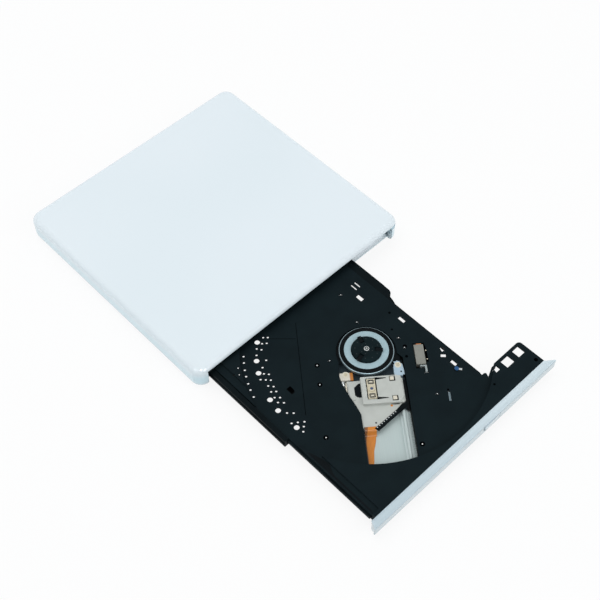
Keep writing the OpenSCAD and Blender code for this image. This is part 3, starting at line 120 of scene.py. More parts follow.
# %% Write the socket class
class Wire:
    """An output socket of a node tree. Arithmetic on it adds Math nodes to the same tree."""

    def __init__(self, tree, socket=None):
        self.tree = tree
        self.socket = socket

    def node(self, kind, settings=None, inputs=None, out=0):
        """Adds a node of a type, sets its settings, then fills its sockets with values or wires."""
        made = self.tree.nodes.new(kind)
        for key, value in (settings or {}).items():
            setattr(made, key, value)
        for key, value in (inputs or {}).items():
            if isinstance(value, Wire):
                self.tree.links.new(value.socket, made.inputs[key])
            else:
                made.inputs[key].default_value = value
        return Wire(self.tree, made.outputs[out])

    def math(self, operation, *values):
        """A Math node on these values or wires."""
        return self.node("ShaderNodeMath", {"operation": operation}, dict(enumerate(values)))

    def __add__(self, other):
        return self.math("ADD", self, other)

    def __sub__(self, other):
        return self.math("SUBTRACT", self, other)

    def __rsub__(self, other):
        return self.math("SUBTRACT", other, self)

    def __mul__(self, other):
        return self.math("MULTIPLY", self, other)

    __radd__ = __add__
    __rmul__ = __mul__

    def band(self, low, high):
        """Goes smoothly from 0 at low to 1 at high."""
        limits = {"Value": self, "From Min": low, "From Max": high}
        return self.node("ShaderNodeMapRange", {"interpolation_type": "SMOOTHSTEP"}, limits)

    def mix(self, low, high):
        """The colour low where this is 0 and high where it is 1."""
        return self.node("ShaderNodeMix", {"data_type": "RGBA"}, {0: self, 6: low, 7: high}, out=2)

    def stretch(self, *factors):
        """A place multiplied by one factor for each axis."""
        return self.node("ShaderNodeVectorMath", {"operation": "MULTIPLY"}, {0: self, 1: factors})

    def turn(self, centre, angle):
        """A place measured from a centre along axes turned about the upright one."""
        settings = {"Location": centre, "Rotation": (0, 0, angle)}
        return self.node("ShaderNodeMapping", {"vector_type": "TEXTURE"}, {"Vector": self, **settings})

    def noise(self, scale, detail=2.0):
        """Soft random spots, about 1 / scale across."""
        return self.node("ShaderNodeTexNoise", None, {"Vector": self, "Scale": scale, "Detail": detail})

    def part(self, axis):
        """One coordinate of a place."""
        return self.node("ShaderNodeSeparateXYZ", None, {0: self}, out=axis)

    def radius(self):
        """Distance of a place from its upright axis."""
        flat = self.stretch(1, 1, 0)
        return flat.node("ShaderNodeVectorMath", {"operation": "LENGTH"}, {0: flat}, out="Value")


def paint(red, green, blue):
    """A colour as it is seen on a screen, from 0 to 255, as the linear colour of a shader."""
    seen = np.array((red, green, blue)) / 255
    linear = np.where(seen < 0.04045, seen / 12.92, ((seen + 0.055) / 1.055) ** 2.4)
    return (*linear, 1.0)


print("socket class ready")

# %% [markdown]
# ## Finishes
#
# Each real material gets one function. It receives the place on the surface in millimetres and
# returns what the shader's sockets take. Moulded plastic shows a fine mould grain and a slow
# drift of gloss, stamped sheet shows rolling streaks, turned metal shows rings about its axis.
# Flat colours would be quicker, but gloss that never changes is what makes a render look false.

# %% Make a material from a finish
SPINDLE = (0.6, -108.6, 0)
SLIDE_TURN = math.radians(231)


def make_finish(name, build):
    """Makes a material. The finish gets the place in millimetres and returns its shader sockets."""
    material = bpy.data.materials.new(name)
    material.use_nodes = True
    tree = material.node_tree
    shader = tree.nodes["Principled BSDF"]
    place = Wire(tree).node("ShaderNodeTexCoord", out="Object").stretch(1000, 1000, 1000)
    looks = build(place)
    if "Bump" in looks:
        height, depth = looks.pop("Bump")
        settings = {"Height": height, "Distance": depth * MM, "Strength": 1.0}
        looks["Normal"] = place.node("ShaderNodeBump", None, settings)
    for key, value in looks.items():
        if isinstance(value, Wire):
            tree.links.new(value.socket, shader.inputs[key])
        else:
            shader.inputs[key].default_value = value
    return material


# %% Plastics and rubber
def lacquered(shade, tint):
    """Glossy white moulding: a slow orange peel, fine dust in the gloss, two close whites."""
    def build(place):
        peel = place.noise(0.22, 1)
        dust = place.noise(3.5, 3)
        return {
            "Base Color": place.noise(0.012, 1).band(0.3, 0.7).mix(shade, tint),
            "Roughness": 0.16 + 0.12 * dust,
            "Coat Weight": 0.6 + 0.2 * dust,
            "Bump": (peel + 0.05 * dust, 0.012),
        }
    return build


def painted_shade_low(shade, tint, low_shade, low_z, high_z):
    """Lacquer with painted shade: its colour darkens below a height, where less light falls."""
    plain = lacquered(shade, tint)

    def build(place):
        looks = plain(place)
        looks["Base Color"] = place.part(2).band(low_z, high_z).mix(low_shade, looks["Base Color"])
        return looks
    return build


def bezel_painted_shade(left, shade, tint, low_shade):
    """The bezel's lacquer with painted shade: darker to its left, below its front edge and in a line
    along a shallow crease.
    """
    plain = lacquered(shade, tint)
    left_end, right_end = -62, 62
    low_z, high_z = 8.3, 9.3
    crease_y, crease_half = -174.0, 0.35

    def build(place):
        looks = plain(place)
        face = place.part(0).band(left_end, right_end).mix(left, looks["Base Color"])
        off = place.part(1) - crease_y
        crease_shade_mask = 1 - off.math("ABSOLUTE", off).band(crease_half * 0.6, crease_half * 1.8)
        face = (0.2 * crease_shade_mask).mix(face, low_shade)
        looks["Base Color"] = place.part(2).band(low_z, high_z).mix(low_shade, face)
        return looks
    return build


def moulded(shade, tint, grain, roughness, gleam):
    """Moulded plastic: two close shades, a fine mould grain and a gloss that drifts."""
    def build(place):
        cloud = place.noise(0.09, 3)
        speck = place.noise(grain, 2)
        return {
            "Base Color": (0.6 * cloud + 0.4 * speck).band(0.35, 0.65).mix(shade, tint),
            "Roughness": roughness + 0.25 * (cloud - 0.5) + 0.1 * (speck - 0.5),
            "Specular IOR Level": gleam,
            "Bump": (speck, 0.03),
        }
    return build


def pitted(shade, tint, dark):
    """The deck's plastic: as moulded, with painted shade below the deck, right of its left wall, that
    darkens its pits and recesses.
    """
    plain = moulded(shade, tint, 6, 0.55, 0.05)
    pit_floor, deck = 7.3, 7.55
    wall_left, wall_right = -57.4, -56.8

    def build(place):
        looks = plain(place)
        low = 1 - place.part(2).band(pit_floor, deck)
        inside = place.part(0).band(wall_left, wall_right)
        looks["Base Color"] = (low * inside).mix(looks["Base Color"], dark)
        return looks
    return build


def rubbery(shade, tint):
    """Soft rubber: matt, finely speckled, a little dusty."""
    def build(place):
        speck = place.noise(9, 2)
        dust = place.noise(0.5, 4)
        return {
            "Base Color": (0.5 * speck + 0.5 * dust).band(0.4, 0.7).mix(shade, tint),
            "Roughness": 0.7 + 0.3 * (dust - 0.5),
            "Specular IOR Level": 0.2,
            "Bump": (speck, 0.04),
        }
    return build


print("plastic finishes written")


# %% Metals
def rolled(shade, tint, angle, roughness, metal):
    """Stamped sheet: streaks along the rolling direction and a slow stain."""
    def build(place):
        streak = place.turn((0, 0, 0), angle).stretch(0.04, 3, 3).noise(1, 3)
        stain = place.noise(0.12, 3)
        return {
            "Base Color": (0.6 * streak + 0.4 * stain).band(0.3, 0.7).mix(shade, tint),
            "Metallic": metal,
            "Roughness": roughness + 0.3 * (streak - 0.5) + 0.15 * (stain - 0.5),
            "Bump": (streak, 0.01),
        }
    return build


def blasted(shade, tint, roughness, metal):
    """Bead blasted casting: a fine even grain with darker flow marks."""
    def build(place):
        grain = place.noise(7, 2)
        flow = place.noise(0.25, 4)
        return {
            "Base Color": (0.35 * grain + 0.65 * flow).band(0.35, 0.62).mix(shade, tint),
            "Metallic": metal,
            "Roughness": roughness + 0.2 * (grain - 0.5),
            "Bump": (grain, 0.03),
        }
    return build


def turned(shade, tint, roughness, metal, gleam=0.5):
    """Turned about the spindle: fine rings whose shade depends on the distance from its axis."""
    def build(place):
        reach = place.turn(SPINDLE, 0).radius()
        ring = place.node("ShaderNodeCombineXYZ", None, {0: reach}).noise(4, 2)
        cloud = place.noise(0.3, 3)
        return {
            "Base Color": (0.6 * ring + 0.4 * cloud).band(0.35, 0.65).mix(shade, tint),
            "Metallic": metal,
            "Roughness": roughness + 0.25 * (ring - 0.5),
            "Specular IOR Level": gleam,
            "Bump": (ring, 0.02),
        }
    return build


def ringed(shade, tint, ring_colour, ring_r, ring_half, ring_metal, side_colour, side_z):
    """Turned, with one ring of another colour and metal, and another colour again below a height."""
    metal = 0.2
    plain = turned(shade, tint, 0.4, metal, 0.2)

    def build(place):
        looks = plain(place)
        off = place.turn(SPINDLE, 0).radius() - ring_r
        ring = 1 - off.math("ABSOLUTE", off).band(ring_half * 0.7, ring_half * 1.3)
        top = place.part(2).band(side_z - 0.1, side_z + 0.1)
        looks["Base Color"] = ring.mix(top.mix(side_colour, looks["Base Color"]), ring_colour)
        looks["Metallic"] = metal + (ring_metal - metal) * ring
        return looks
    return build


def sheet_painted_shadow(shade, tint, dark):
    """Grey sheet under the pickup with painted shadow: a ragged dark band along its right edge and round
    the turntable.
    """
    tail_from, tail_to = 29, 33
    edge_from, edge_to, edge_shift = 15.6, 17.8, 5.4
    rim_from, rim_to = 17, 21

    def build(place):
        slide = place.turn(SPINDLE, SLIDE_TURN)
        streak = slide.stretch(0.04, 3, 3).noise(1, 3)
        speck = place.noise(2.2, 3)
        beside_pickup = 1 - slide.part(0).band(tail_from, tail_to)
        ragged = slide.part(1) + 3 * (speck - 0.5) + edge_shift * beside_pickup
        edge = ragged.band(edge_from, edge_to)
        near = 1 - slide.radius().band(rim_from, rim_to)
        painted_shadow_mask = edge.math("MAXIMUM", edge, near)
        return {
            "Base Color": painted_shadow_mask.mix(streak.band(0.3, 0.7).mix(shade, tint), dark),
            "Roughness": 0.6 + 0.2 * (streak - 0.5),
            "Specular IOR Level": 0.15,
            "Bump": (streak, 0.005),
        }
    return build


def clamped(pale, cream, copper):
    """Rod clamps: pale blue on the right of the slide, cream on the left with a copper side."""
    copper_from, copper_to = -9.6, -9.0

    def build(place):
        side = place.turn(SPINDLE, SLIDE_TURN).part(1)
        grain = place.noise(5, 2)
        left = side.band(copper_from, copper_to).mix(cream, copper)
        return {
            "Base Color": side.band(-1, 1).mix(left, pale),
            "Roughness": 0.45 + 0.2 * (grain - 0.5),
            "Specular IOR Level": 0.3,
            "Bump": (grain, 0.02),
        }
    return build


print("metal finishes written")


# %% Boards, films, wire and glass
def tracks(place, axis, pitch, width):
    """1 on evenly spaced lines across an axis, 0 between them."""
    off = place.part(axis)
    return 1 - off.math("PINGPONG", off, pitch / 2).band(width * 0.4, width * 0.6)


def laminate(mask, copper, solder):
    """Circuit board: tracks under the green mask, in patches, and bright round pads."""
    def build(place):
        patch = place.noise(0.15, 0).band(0.49, 0.51)
        along = tracks(place, 0, 0.9, 0.35)
        across = tracks(place, 1, 0.9, 0.35)
        lines = patch * along + (1 - patch) * across
        pads = place.node("ShaderNodeTexVoronoi", None, {"Vector": place, "Scale": 0.45})
        pad = 1 - pads.band(0.16, 0.2)
        cover = (0.6 * lines).mix(mask, copper)
        return {
            "Base Color": pad.mix(cover, solder),
            "Roughness": 0.45 - 0.15 * pad,
            "Metallic": pad * 0.8,
            "Bump": (lines + pad, 0.03),
        }
    return build


def film(shade, track, turn, pitch):
    """Flat flexible cable: thin parallel conductors that show through the film."""
    def build(place):
        aligned = place.turn(SPINDLE, turn)
        lines = tracks(aligned, 1, pitch, pitch * 0.6)
        cloud = place.noise(0.4, 2)
        return {
            "Base Color": (0.75 * lines + 0.25 * cloud).mix(shade, track),
            "Roughness": 0.32 + 0.15 * cloud,
            "Bump": (lines, 0.03),
        }
    return build


def edged_film(shade, track, rise_shade, dark):
    """The pickup's ribbon: film with a painted shadow along its left edge, and painted shade, brownish,
    where it rises to the pickup.
    """
    plain = film(shade, track, SLIDE_TURN, 0.6)
    brown_from, brown_to, brown_slant = 3.7, 4.3, 0.2
    edge_from, edge_to = -5.75, -5.2

    def build(place):
        looks = plain(place)
        slide = place.turn(SPINDLE, SLIDE_TURN)
        slanted = slide.part(1) + brown_slant * slide.part(0)
        rise_shade_mask = 1 - slanted.band(brown_from, brown_to)
        edge = 1 - slide.part(1).band(edge_from, edge_to)
        looks["Base Color"] = edge.mix(rise_shade_mask.mix(looks["Base Color"], rise_shade), dark)
        return looks
    return build


def wound(shade, tint):
    """Enamelled wire: bright copper with a darker line between the turns."""
    def build(place):
        turns = tracks(place, 2, 0.22, 0.1)
        cloud = place.noise(2, 2)
        return {
            "Base Color": (0.7 * turns + 0.3 * cloud).mix(tint, shade),
            "Metallic": 0.7,
            "Roughness": 0.35 + 0.2 * turns,
        }
    return build


def coated_lens(shade, gleam):
    """Coated lens: deep blue with paler patches, very smooth."""
    def build(place):
        cloud = place.noise(1.5, 1)
        return {
            "Base Color": cloud.band(0.35, 0.65).mix(shade, gleam),
            "Roughness": 0.05 + 0.04 * cloud,
            "Coat Weight": 1.0,
        }
    return build


print("board, film, wire and lens finishes written")

# %% [markdown]
# ## Finish list
#
# The record names a material slot for each solid. Giving each slot its finish here means that a
# solid finds its own look, and only the few pieces that differ from their slot are listed apart.

# %% Give every solid its finish
COVER_WHITE = (paint(228, 239, 245), paint(231, 241, 247))
STEEL = (paint(150, 158, 160), paint(188, 196, 198))
BRIGHT = (paint(188, 194, 196), paint(222, 227, 228))
finishes = {
    "white_gloss": lacquered(*COVER_WHITE),
    "white_satin": lacquered(paint(206, 226, 234), paint(209, 228, 236)),
    "foot_rubber": rubbery(paint(38, 40, 42), paint(58, 60, 62)),
    "black_moulding": pitted(paint(13, 24, 28), paint(17, 29, 33), paint(2, 4, 5)),
    "rail_black": moulded(paint(9, 17, 20), paint(13, 22, 25), 4, 0.45, 0.04),
    "sheet_steel": rolled(*STEEL, 0.0, 0.42, 0.85),
    "screw_steel": rolled(*BRIGHT, 0.6, 0.3, 0.9),
    "board_green": laminate(paint(22, 66, 44), paint(52, 104, 66), paint(205, 206, 200)),
    "chip_black": moulded(paint(20, 21, 23), paint(34, 36, 38), 5, 0.5, 0.3),
    "pale_plastic": moulded(paint(212, 206, 188), paint(226, 221, 206), 3, 0.5, 0.4),
    "cable_film": film(paint(226, 228, 228), paint(170, 176, 178), -SLIDE_TURN, 1.0),
    # The ribbon's dark left edge is a painted shadow and its brownish rise is painted shade.
    "flex_orange": edged_film(
        paint(220, 140, 38), paint(196, 112, 20), rise_shade=paint(132, 80, 28), dark=paint(30, 24, 18)
    ),
    "cast_zinc": blasted(paint(184, 188, 183), paint(190, 194, 189), 0.5, 0.0),
    "table_grey": turned(paint(90, 108, 116), paint(120, 138, 146), 0.4, 0.4),
    "clamp_pale": turned(paint(156, 182, 190), paint(168, 193, 201), 0.5, 0.0, 0.3),
    "disc_rubber": turned(paint(7, 11, 13), paint(12, 17, 19), 0.6, 0.0, 0.05),
    "hub_black": moulded(paint(5, 11, 14), paint(10, 17, 21), 5, 0.45, 0.06),
    "lens_glass": coated_lens(paint(10, 34, 74), paint(22, 60, 110)),
    "holder_grey": moulded(paint(204, 196, 172), paint(214, 207, 184), 4, 0.5, 0.3),
    "solenoid_steel": rolled(paint(124, 126, 119), paint(136, 137, 130), SLIDE_TURN, 0.5, 0.1),
    "coil_copper": wound(paint(196, 132, 84), paint(120, 70, 40)),
    "cap_blue": moulded(paint(8, 64, 114), paint(18, 84, 136), 4, 0.4, 0.4),
    "motor_dark": turned(paint(46, 49, 51), paint(70, 74, 76), 0.5, 0.5),
}
materials = {slot: make_finish(slot, build) for slot, build in finishes.items()}
slot_of = {row["node"]: row["material_slot"] for row in frame["record"]["subparts"]}
for node, slot in slot_of.items():
    nodes[node].data.materials.clear()
    nodes[node].data.materials.append(materials[slot])
print("finishes:", len(materials), "solids dressed:", len(slot_of))

# %% Pieces that differ from their slot
# ROD_GREY and ARM_GREY are lighter copies of the sheet's grey: painted light that offsets the shade on
# the rods and the frame's arm, so that they blend with the sheet.
SHEET_GREY = (paint(188, 202, 201), paint(192, 206, 205))
ROD_GREY = (paint(190, 203, 202), paint(195, 208, 207))
ARM_GREY = (paint(211, 223, 223), paint(215, 227, 227))
NEAR_BLACK = paint(16, 22, 25)
special = {
    # Painted shade: the top cover and the button darken below a height, and the bezel to its left, below
    # its front edge and along a crease.
    "top_cover": painted_shade_low(*COVER_WHITE, paint(205, 232, 242), low_z=7.0, high_z=13.2),
    "front_bezel": bezel_painted_shade(
        left=paint(189, 207, 216), shade=paint(208, 224, 231), tint=paint(211, 226, 233),
        low_shade=paint(174, 194, 202),
    ),
    "eject_button": painted_shade_low(
        paint(196, 211, 218), paint(199, 213, 220), paint(170, 189, 197), low_z=6.5, high_z=7.0
    ),
    # Painted shadow: the sheet, the frame and the rods darken in a ragged band along the slot's right
    # edge and round the turntable.
    "mechanism_cover": sheet_painted_shadow(*SHEET_GREY, NEAR_BLACK),
    "traverse_frame": sheet_painted_shadow(*ARM_GREY, paint(46, 60, 68)),
    "guide_rods": sheet_painted_shadow(*ROD_GREY, NEAR_BLACK),
    "rod_clamps": clamped(paint(176, 198, 212), paint(214, 210, 198), paint(186, 118, 52)),
    "solenoid_plunger": rolled(paint(140, 150, 150), paint(160, 170, 172), SLIDE_TURN, 0.5, 0.1),
    # On the turntable the pale ring at the rim is a painted highlight on a metal band.
    "turntable": ringed(
        paint(18, 26, 30), paint(26, 35, 40), ring_colour=paint(152, 172, 180), ring_r=13.12,
        ring_half=0.2, ring_metal=0.95, side_colour=paint(80, 104, 116), side_z=8.9,
    ),
    "hub": moulded(paint(6, 18, 21), paint(14, 31, 35), 5, 0.45, 0.06),
    # The dark ring on the spindle's end is painted shade: it stands for a gap round its centre.
    "spindle_shaft": ringed(
        paint(222, 227, 226), paint(236, 240, 239), ring_colour=paint(12, 15, 17), ring_r=0.72,
        ring_half=0.26, ring_metal=0.2, side_colour=paint(200, 204, 204), side_z=0,
    ),
}
for node, build in special.items():
    nodes[node].data.materials[0] = make_finish(node, build)
print("special finishes:", sorted(special))

# %% [markdown]
# ## Rounded edges
#
# No moulded or stamped edge is perfectly sharp, and it is the thin line of light on an edge that
# shows where a part ends. The solids stay as they are. Modifiers weld their loose triangles, join
# the flat faces, round every edge by a small width and even out the shading.

# %% Round the edges of the solids
EDGE = 0.12
WELD_GAP = 0.001 * MM
edge_widths = {
    "top_cover": 0.25, "bottom_case": 0.2, "front_bezel": 0.3, "eject_button": 0.2, "tray": 0.15,
    "left_rail": 0.15, "right_rail": 0.15, "mechanism_cover": 0.06, "pickup_cover": 0.1,
    "pickup_body": 0.15, "rod_clamps": 0.2, "solenoid": 0.3, "hub": 0.15, "turntable": 0.32,
    "clamp_ring": 0.05, "rubber_ring": 0.1, "lens": 0.02, "deck_screws": 0.1,
}


def soften(solid, width):
    """Welds a solid, joins its flat faces and rounds its edges by a width in millimetres."""
    solid.data.shade_smooth()
    weld = solid.modifiers.new("weld", "WELD")
    weld.merge_threshold = WELD_GAP
    flat = solid.modifiers.new("flat", "DECIMATE")
    flat.decimate_type = "DISSOLVE"
    flat.angle_limit = math.radians(0.3)
    edges = solid.modifiers.new("edges", "BEVEL")
    edges.width = width * MM
    edges.segments = 2
    edges.limit_method = "ANGLE"
    edges.angle_limit = math.radians(40)
    solid.modifiers.new("even", "WEIGHTED_NORMAL")


for node, solid in nodes.items():
    soften(solid, edge_widths.get(node, EDGE))
print("edges rounded on", len(nodes), "solids")

# %% [markdown]
# ## Surfaces from numpy
#
# New pieces are grids of points: a function of two parameters, worked out for the whole grid at
# once. One helper joins the neighbours of a grid to quads, and one puts points and quads into an
# object, closes seams, points the faces outwards and lets the object ride on its body. The rest
# give the shapes that come back often: a turned profile, a plate with an outline and a low dome.

# %% Helpers for grids
def grid_faces(rows, columns, wrap_rows=False, wrap_columns=False):
    """Quads of a grid: each joins a point to the next one in its row, and both to the next row."""
    row, column = np.meshgrid(
        np.arange(rows if wrap_rows else rows - 1),
        np.arange(columns if wrap_columns else columns - 1),
        indexing="ij",
    )
    below = (row + 1) % rows
    beside = (column + 1) % columns
    corners = (row * columns + column, below * columns + column, below * columns + beside,
               row * columns + beside)
    return np.stack(corners, -1).reshape(-1, 4)


def grid(points, wrap_rows=False, wrap_columns=False, cap=False):
    """A grid of points with its quads; cap closes the first and last row with one face each."""
    rows, columns = points.shape[:2]
    faces = grid_faces(rows, columns, wrap_rows, wrap_columns).tolist()
    if cap:
        faces += [list(range(columns)), list(range((rows - 1) * columns, rows * columns))]
    return points.reshape(-1, 3), faces


def tube(points):
    """A grid whose columns close to a loop and whose first and last row are capped."""
    return grid(points, wrap_columns=True, cap=True)


def full_turn(steps):
    """The angles of a whole turn in even steps."""
    return np.linspace(0, 2 * math.pi, steps, endpoint=False)


def add_piece(name, shapes, slot, body, stands_for=()):
    """Joins shapes to one object at the origin, closes its seams, lets it ride on a body if named."""
    points = np.concatenate([shape[0] for shape in shapes]) * MM
    starts = np.cumsum([0] + [len(shape[0]) for shape in shapes[:-1]])
    faces = [[corner + start for corner in face] for (_, quads), start in zip(shapes, starts)
             for face in quads]
    mesh = bpy.data.meshes.new(name)
    mesh.from_pydata(points.tolist(), [], faces)
    work = bmesh.new()
    work.from_mesh(mesh)
    bmesh.ops.remove_doubles(work, verts=work.verts, dist=WELD_GAP)
    bmesh.ops.dissolve_degenerate(work, edges=work.edges, dist=WELD_GAP / 2)
    bmesh.ops.recalc_face_normals(work, faces=work.faces)
    work.to_mesh(mesh)
    work.free()
    mesh.shade_smooth()
    mesh.set_sharp_from_angle(angle=math.radians(38))
    mesh.materials.append(materials[slot])
    piece = bpy.data.objects.new(name, mesh)
    scene.collection.objects.link(piece)
    if body:
        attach(piece, body)
    if stands_for:
        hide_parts(*stands_for)
    print(name, "faces:", len(mesh.polygons))
    return piece


print("grid helpers ready")


# %% Helpers for turned and flat shapes
def lathe(profile, centre, steps=96):
    """Turns a closed profile of radius and height: point = centre + radius * (cos t, sin t)."""
    radius, height = np.asarray(profile, float).T
    turn = full_turn(steps)[:, None]
    points = np.stack(np.broadcast_arrays(
        centre[0] + radius * np.cos(turn), centre[1] + radius * np.sin(turn), height
    ), -1)
    return grid(points, wrap_rows=True, wrap_columns=True)


def on_slide(points):
    """Turns places along and across the pickup's slide, from the spindle, into the row frame."""
    along, across, height = np.moveaxis(np.asarray(points, float), -1, 0)
    x = SPINDLE[0] + along * math.cos(SLIDE_TURN) - across * math.sin(SLIDE_TURN)
    y = SPINDLE[1] + along * math.sin(SLIDE_TURN) + across * math.cos(SLIDE_TURN)
    return np.stack((x, y, height), -1)


def smooth_step(value):
    """0 below 0, 1 above 1, and 3 v^2 - 2 v^3 between."""
    value = np.clip(value, 0, 1)
    return value * value * (3 - 2 * value)


def slab(outline, low, high):
    """A flat outline carried from the low to the high level: the same points at both heights."""
    flat = np.asarray(outline, float)
    return np.stack([np.column_stack((flat, np.full(len(flat), level))) for level in (low, high)])


def plate(outline, low, high, shift=(0, 0)):
    """A slab whose outline, moved by a shift, is given along and across the slide."""
    return tube(on_slide(slab(np.asarray(outline, float) + shift, low, high)))


def square(half):
    """The corners of a square about the origin."""
    return half * np.array(((-1, -1), (1, -1), (1, 1), (-1, 1)))


def dome(centre, radius, height, low):
    """A low dome: height falls as 1 - r^2 from its middle, on rings of twelve points."""
    ring = np.array((1.0, 0.75, 0.4, 0.0))[:, None]
    turn = full_turn(12)
    x = centre[0] + radius * ring * np.cos(turn)
    y = centre[1] + radius * ring * np.sin(turn)
    z = np.broadcast_to(low + height * (1 - ring ** 2), x.shape)
    return tube(np.stack((x, y, z), -1))


def on_drawer(spots):
    """Places along and across the slide, as places in the row frame."""
    return on_slide([(u, w, 0) for u, w in spots])[:, :2]


def from_spindle(spots):
    """Places measured from the spindle, as places in the row frame."""
    return np.asarray(spots, float) + SPINDLE[:2]


print("shape helpers ready")

# %% [markdown]
# ## Rubber feet
#
# The drive stands on four soft pads, glued into shallow seats. A pad is a short cylinder with a
# round lower edge, so one profile turned about an upright axis gives it.

# %% Turn the rubber feet
FOOT_R = 4.0
foot_low, foot_high = box_of("rubber_feet")
bend = np.linspace(0, math.pi / 2, 7)
foot_edge = 0.4
foot_profile = np.concatenate((
    [(0, foot_high[2]), (FOOT_R, foot_high[2])],
    np.stack((FOOT_R - foot_edge + foot_edge * np.cos(bend), foot_edge - foot_edge * np.sin(bend)), 1),
    [(0, 0)],
))
foot_spots = [(x, y) for x in (foot_low[0] + FOOT_R, foot_high[0] - FOOT_R)
              for y in (foot_low[1] + FOOT_R, foot_high[1] - FOOT_R)]
feet = [lathe(foot_profile, spot, 48) for spot in foot_spots]
add_piece("foot_pads", feet, "foot_rubber", "case", ["rubber_feet"])

# %% [markdown]
# ## Grip ring of the turntable
#
# The disc rests on a rubber ring with fine grooves, which drive it without slipping. The top of
# the profile is a row of small waves, and the lathe turns it about the spindle.

# %% Turn the grip ring
grip_low, grip_high = box_of("rubber_ring")
grip_out = (grip_high[0] - grip_low[0]) / 2
GRIP_WIDTH = 1.95
GROOVES = 4
GROOVE_DEPTH = 0.07
across_ring = np.linspace(0, 1, 41)
grip_r = grip_out - GRIP_WIDTH * across_ring
grip_z = grip_high[2] - GROOVE_DEPTH * np.sin(math.pi * GROOVES * across_ring) ** 2
grip_profile = np.concatenate((
    np.stack((grip_r, grip_z), 1), [(grip_r[-1], grip_low[2]), (grip_r[0], grip_low[2])]
))
add_piece("grip_ring", [lathe(grip_profile, SPINDLE, 128)], "disc_rubber", "rotor", ["rubber_ring"])

# %% [markdown]
# ## Dimples on the hub
#
# The hub's black face carries small moulded dots between its three claws. Each dot is a low dome.
# Their angles come from one array, the turns of the claws plus a spread, on two radii.

# %% Spread the hub's dots
HUB_TOP = box_of("hub")[1][2]
CLAW_TURNS = (73, 193, 313)
DOT_R = 0.17
DOT_H = 0.1
DOT_SINK = 0.01
dot_rows = [(5.6, np.linspace(25, 95, 3)), (2.9, np.linspace(20, 100, 2))]
dot_spots = from_spindle([
    (reach * math.cos(turn), reach * math.sin(turn))
    for reach, spread in dot_rows
    for turn in np.radians(np.add.outer(CLAW_TURNS, spread)).ravel()
])
hub_dots = [dome(spot, DOT_R, DOT_H, HUB_TOP - DOT_SINK) for spot in dot_spots]
add_piece("hub_dots", hub_dots, "motor_dark", "rotor")

# %% [markdown]
# ## Ribbon of the pickup
#
# An orange film carries the signals of the pickup. It lies flat on the plate under the slot, rises
# to the pickup's tail and laps over its end. The flat run stays with the drawer and the rise moves
# with the pickup, so the two pieces slide over each other as the pickup travels.

# %% Lay the pickup's ribbon
FILM_T = 0.12
FLEX_LIFT = 0.05
flex_low = box_of("mechanism_cover")[1][2] + FLEX_LIFT
FLEX_FROM, FLEX_TO = 41.45, 60.0
FLEX_LEFT = -5.9
TAPER_ALONG = (FLEX_FROM, 47, 51.5, FLEX_TO)
TAPER_RIGHT = (-0.2, -1.1, -2.4, -3.4)
flex_u = np.linspace(FLEX_FROM, FLEX_TO, 40)[:, None]
flex_right = np.interp(flex_u, TAPER_ALONG, TAPER_RIGHT)
flex_side = np.linspace(0, 1, 9)[None, :]


def ribbon(along, across, low, thickness):
    """A ribbon of even thickness: the upper face, and the lower face walked back, as one loop."""
    along, across, low = np.broadcast_arrays(along, across, low)
    under = np.stack((along, across, low), -1)
    over = np.stack((along, across, low + thickness), -1)
    return np.concatenate((over, under[:, ::-1]), 1)


WAVE_H, WAVE_RATE = 0.06, 0.5
run_across = FLEX_LEFT + (flex_right - FLEX_LEFT) * flex_side
run_wave = flex_low + WAVE_H * (1 + np.sin((flex_u - FLEX_FROM) * WAVE_RATE))
flex_run = on_slide(ribbon(flex_u, run_across, run_wave, FILM_T))
add_piece("ribbon_run", [tube(flex_run)], "flex_orange", "drawer", ["pickup_flex"])

BODY_Z = 6.6
RISE_FROM, RISE_L = 40.1, 4.0
RISE_LEFT, RISE_W = FLEX_LEFT + 0.1, 5.6
LAP_SHARE = 0.36
lap_z = BODY_Z + 0.02
rise_base = flex_low + 0.26
rise = np.linspace(0, 1, 24)[:, None]
rise_z = lap_z + (rise_base - lap_z) * smooth_step((rise - LAP_SHARE) / (1 - LAP_SHARE))
rise_across = RISE_LEFT + RISE_W * flex_side
flex_rise = on_slide(ribbon(RISE_FROM + RISE_L * rise, rise_across, rise_z, FILM_T))
add_piece("ribbon_rise", [tube(flex_rise)], "flex_orange", "pickup")

# %% [markdown]
# ## Flat cable of the drawer
#
# A pale flat cable joins the main board to the drawer. It lies on the chassis floor, turns over
# and ends at the drawer's connector, and it rolls as the drawer moves. A path of points goes
# forward below, round the bend and back above. The loop stays in place, and a short run across
# the case, with its corner, rides on the case.

# %% Lay the flat cable
cable_low, cable_high = box_of("flat_cable")
CABLE_W = 12.0
CABLE_T = 0.12
UPPER_L = 8.5
cable_left = cable_low[0]
BEND_Y = cable_low[1] + (cable_high[2] - cable_low[2]) / 2
bend_r = (cable_high[2] - cable_low[2] - CABLE_T) / 2
bend_mid = (cable_high[2] + cable_low[2]) / 2
lower_y = np.linspace(cable_high[1] - CABLE_W, BEND_Y, 30)
upper_y = np.linspace(BEND_Y, BEND_Y + UPPER_L, 8)
roll = np.linspace(0, math.pi, 13)
path_y = np.concatenate((lower_y[:-1], BEND_Y - bend_r * np.sin(roll), upper_y[1:]))
path_z = np.concatenate((
    np.full(len(lower_y) - 1, bend_mid - bend_r), bend_mid - bend_r * np.cos(roll),
    np.full(len(upper_y) - 1, bend_mid + bend_r),
))
step = np.stack((np.gradient(path_y), np.gradient(path_z)), 1)
step /= np.linalg.norm(step, axis=1, keepdims=True)
half_skin = np.stack((-step[:, 1], step[:, 0]), 1) * CABLE_T / 2
sides = np.array((cable_left, cable_left + CABLE_W))


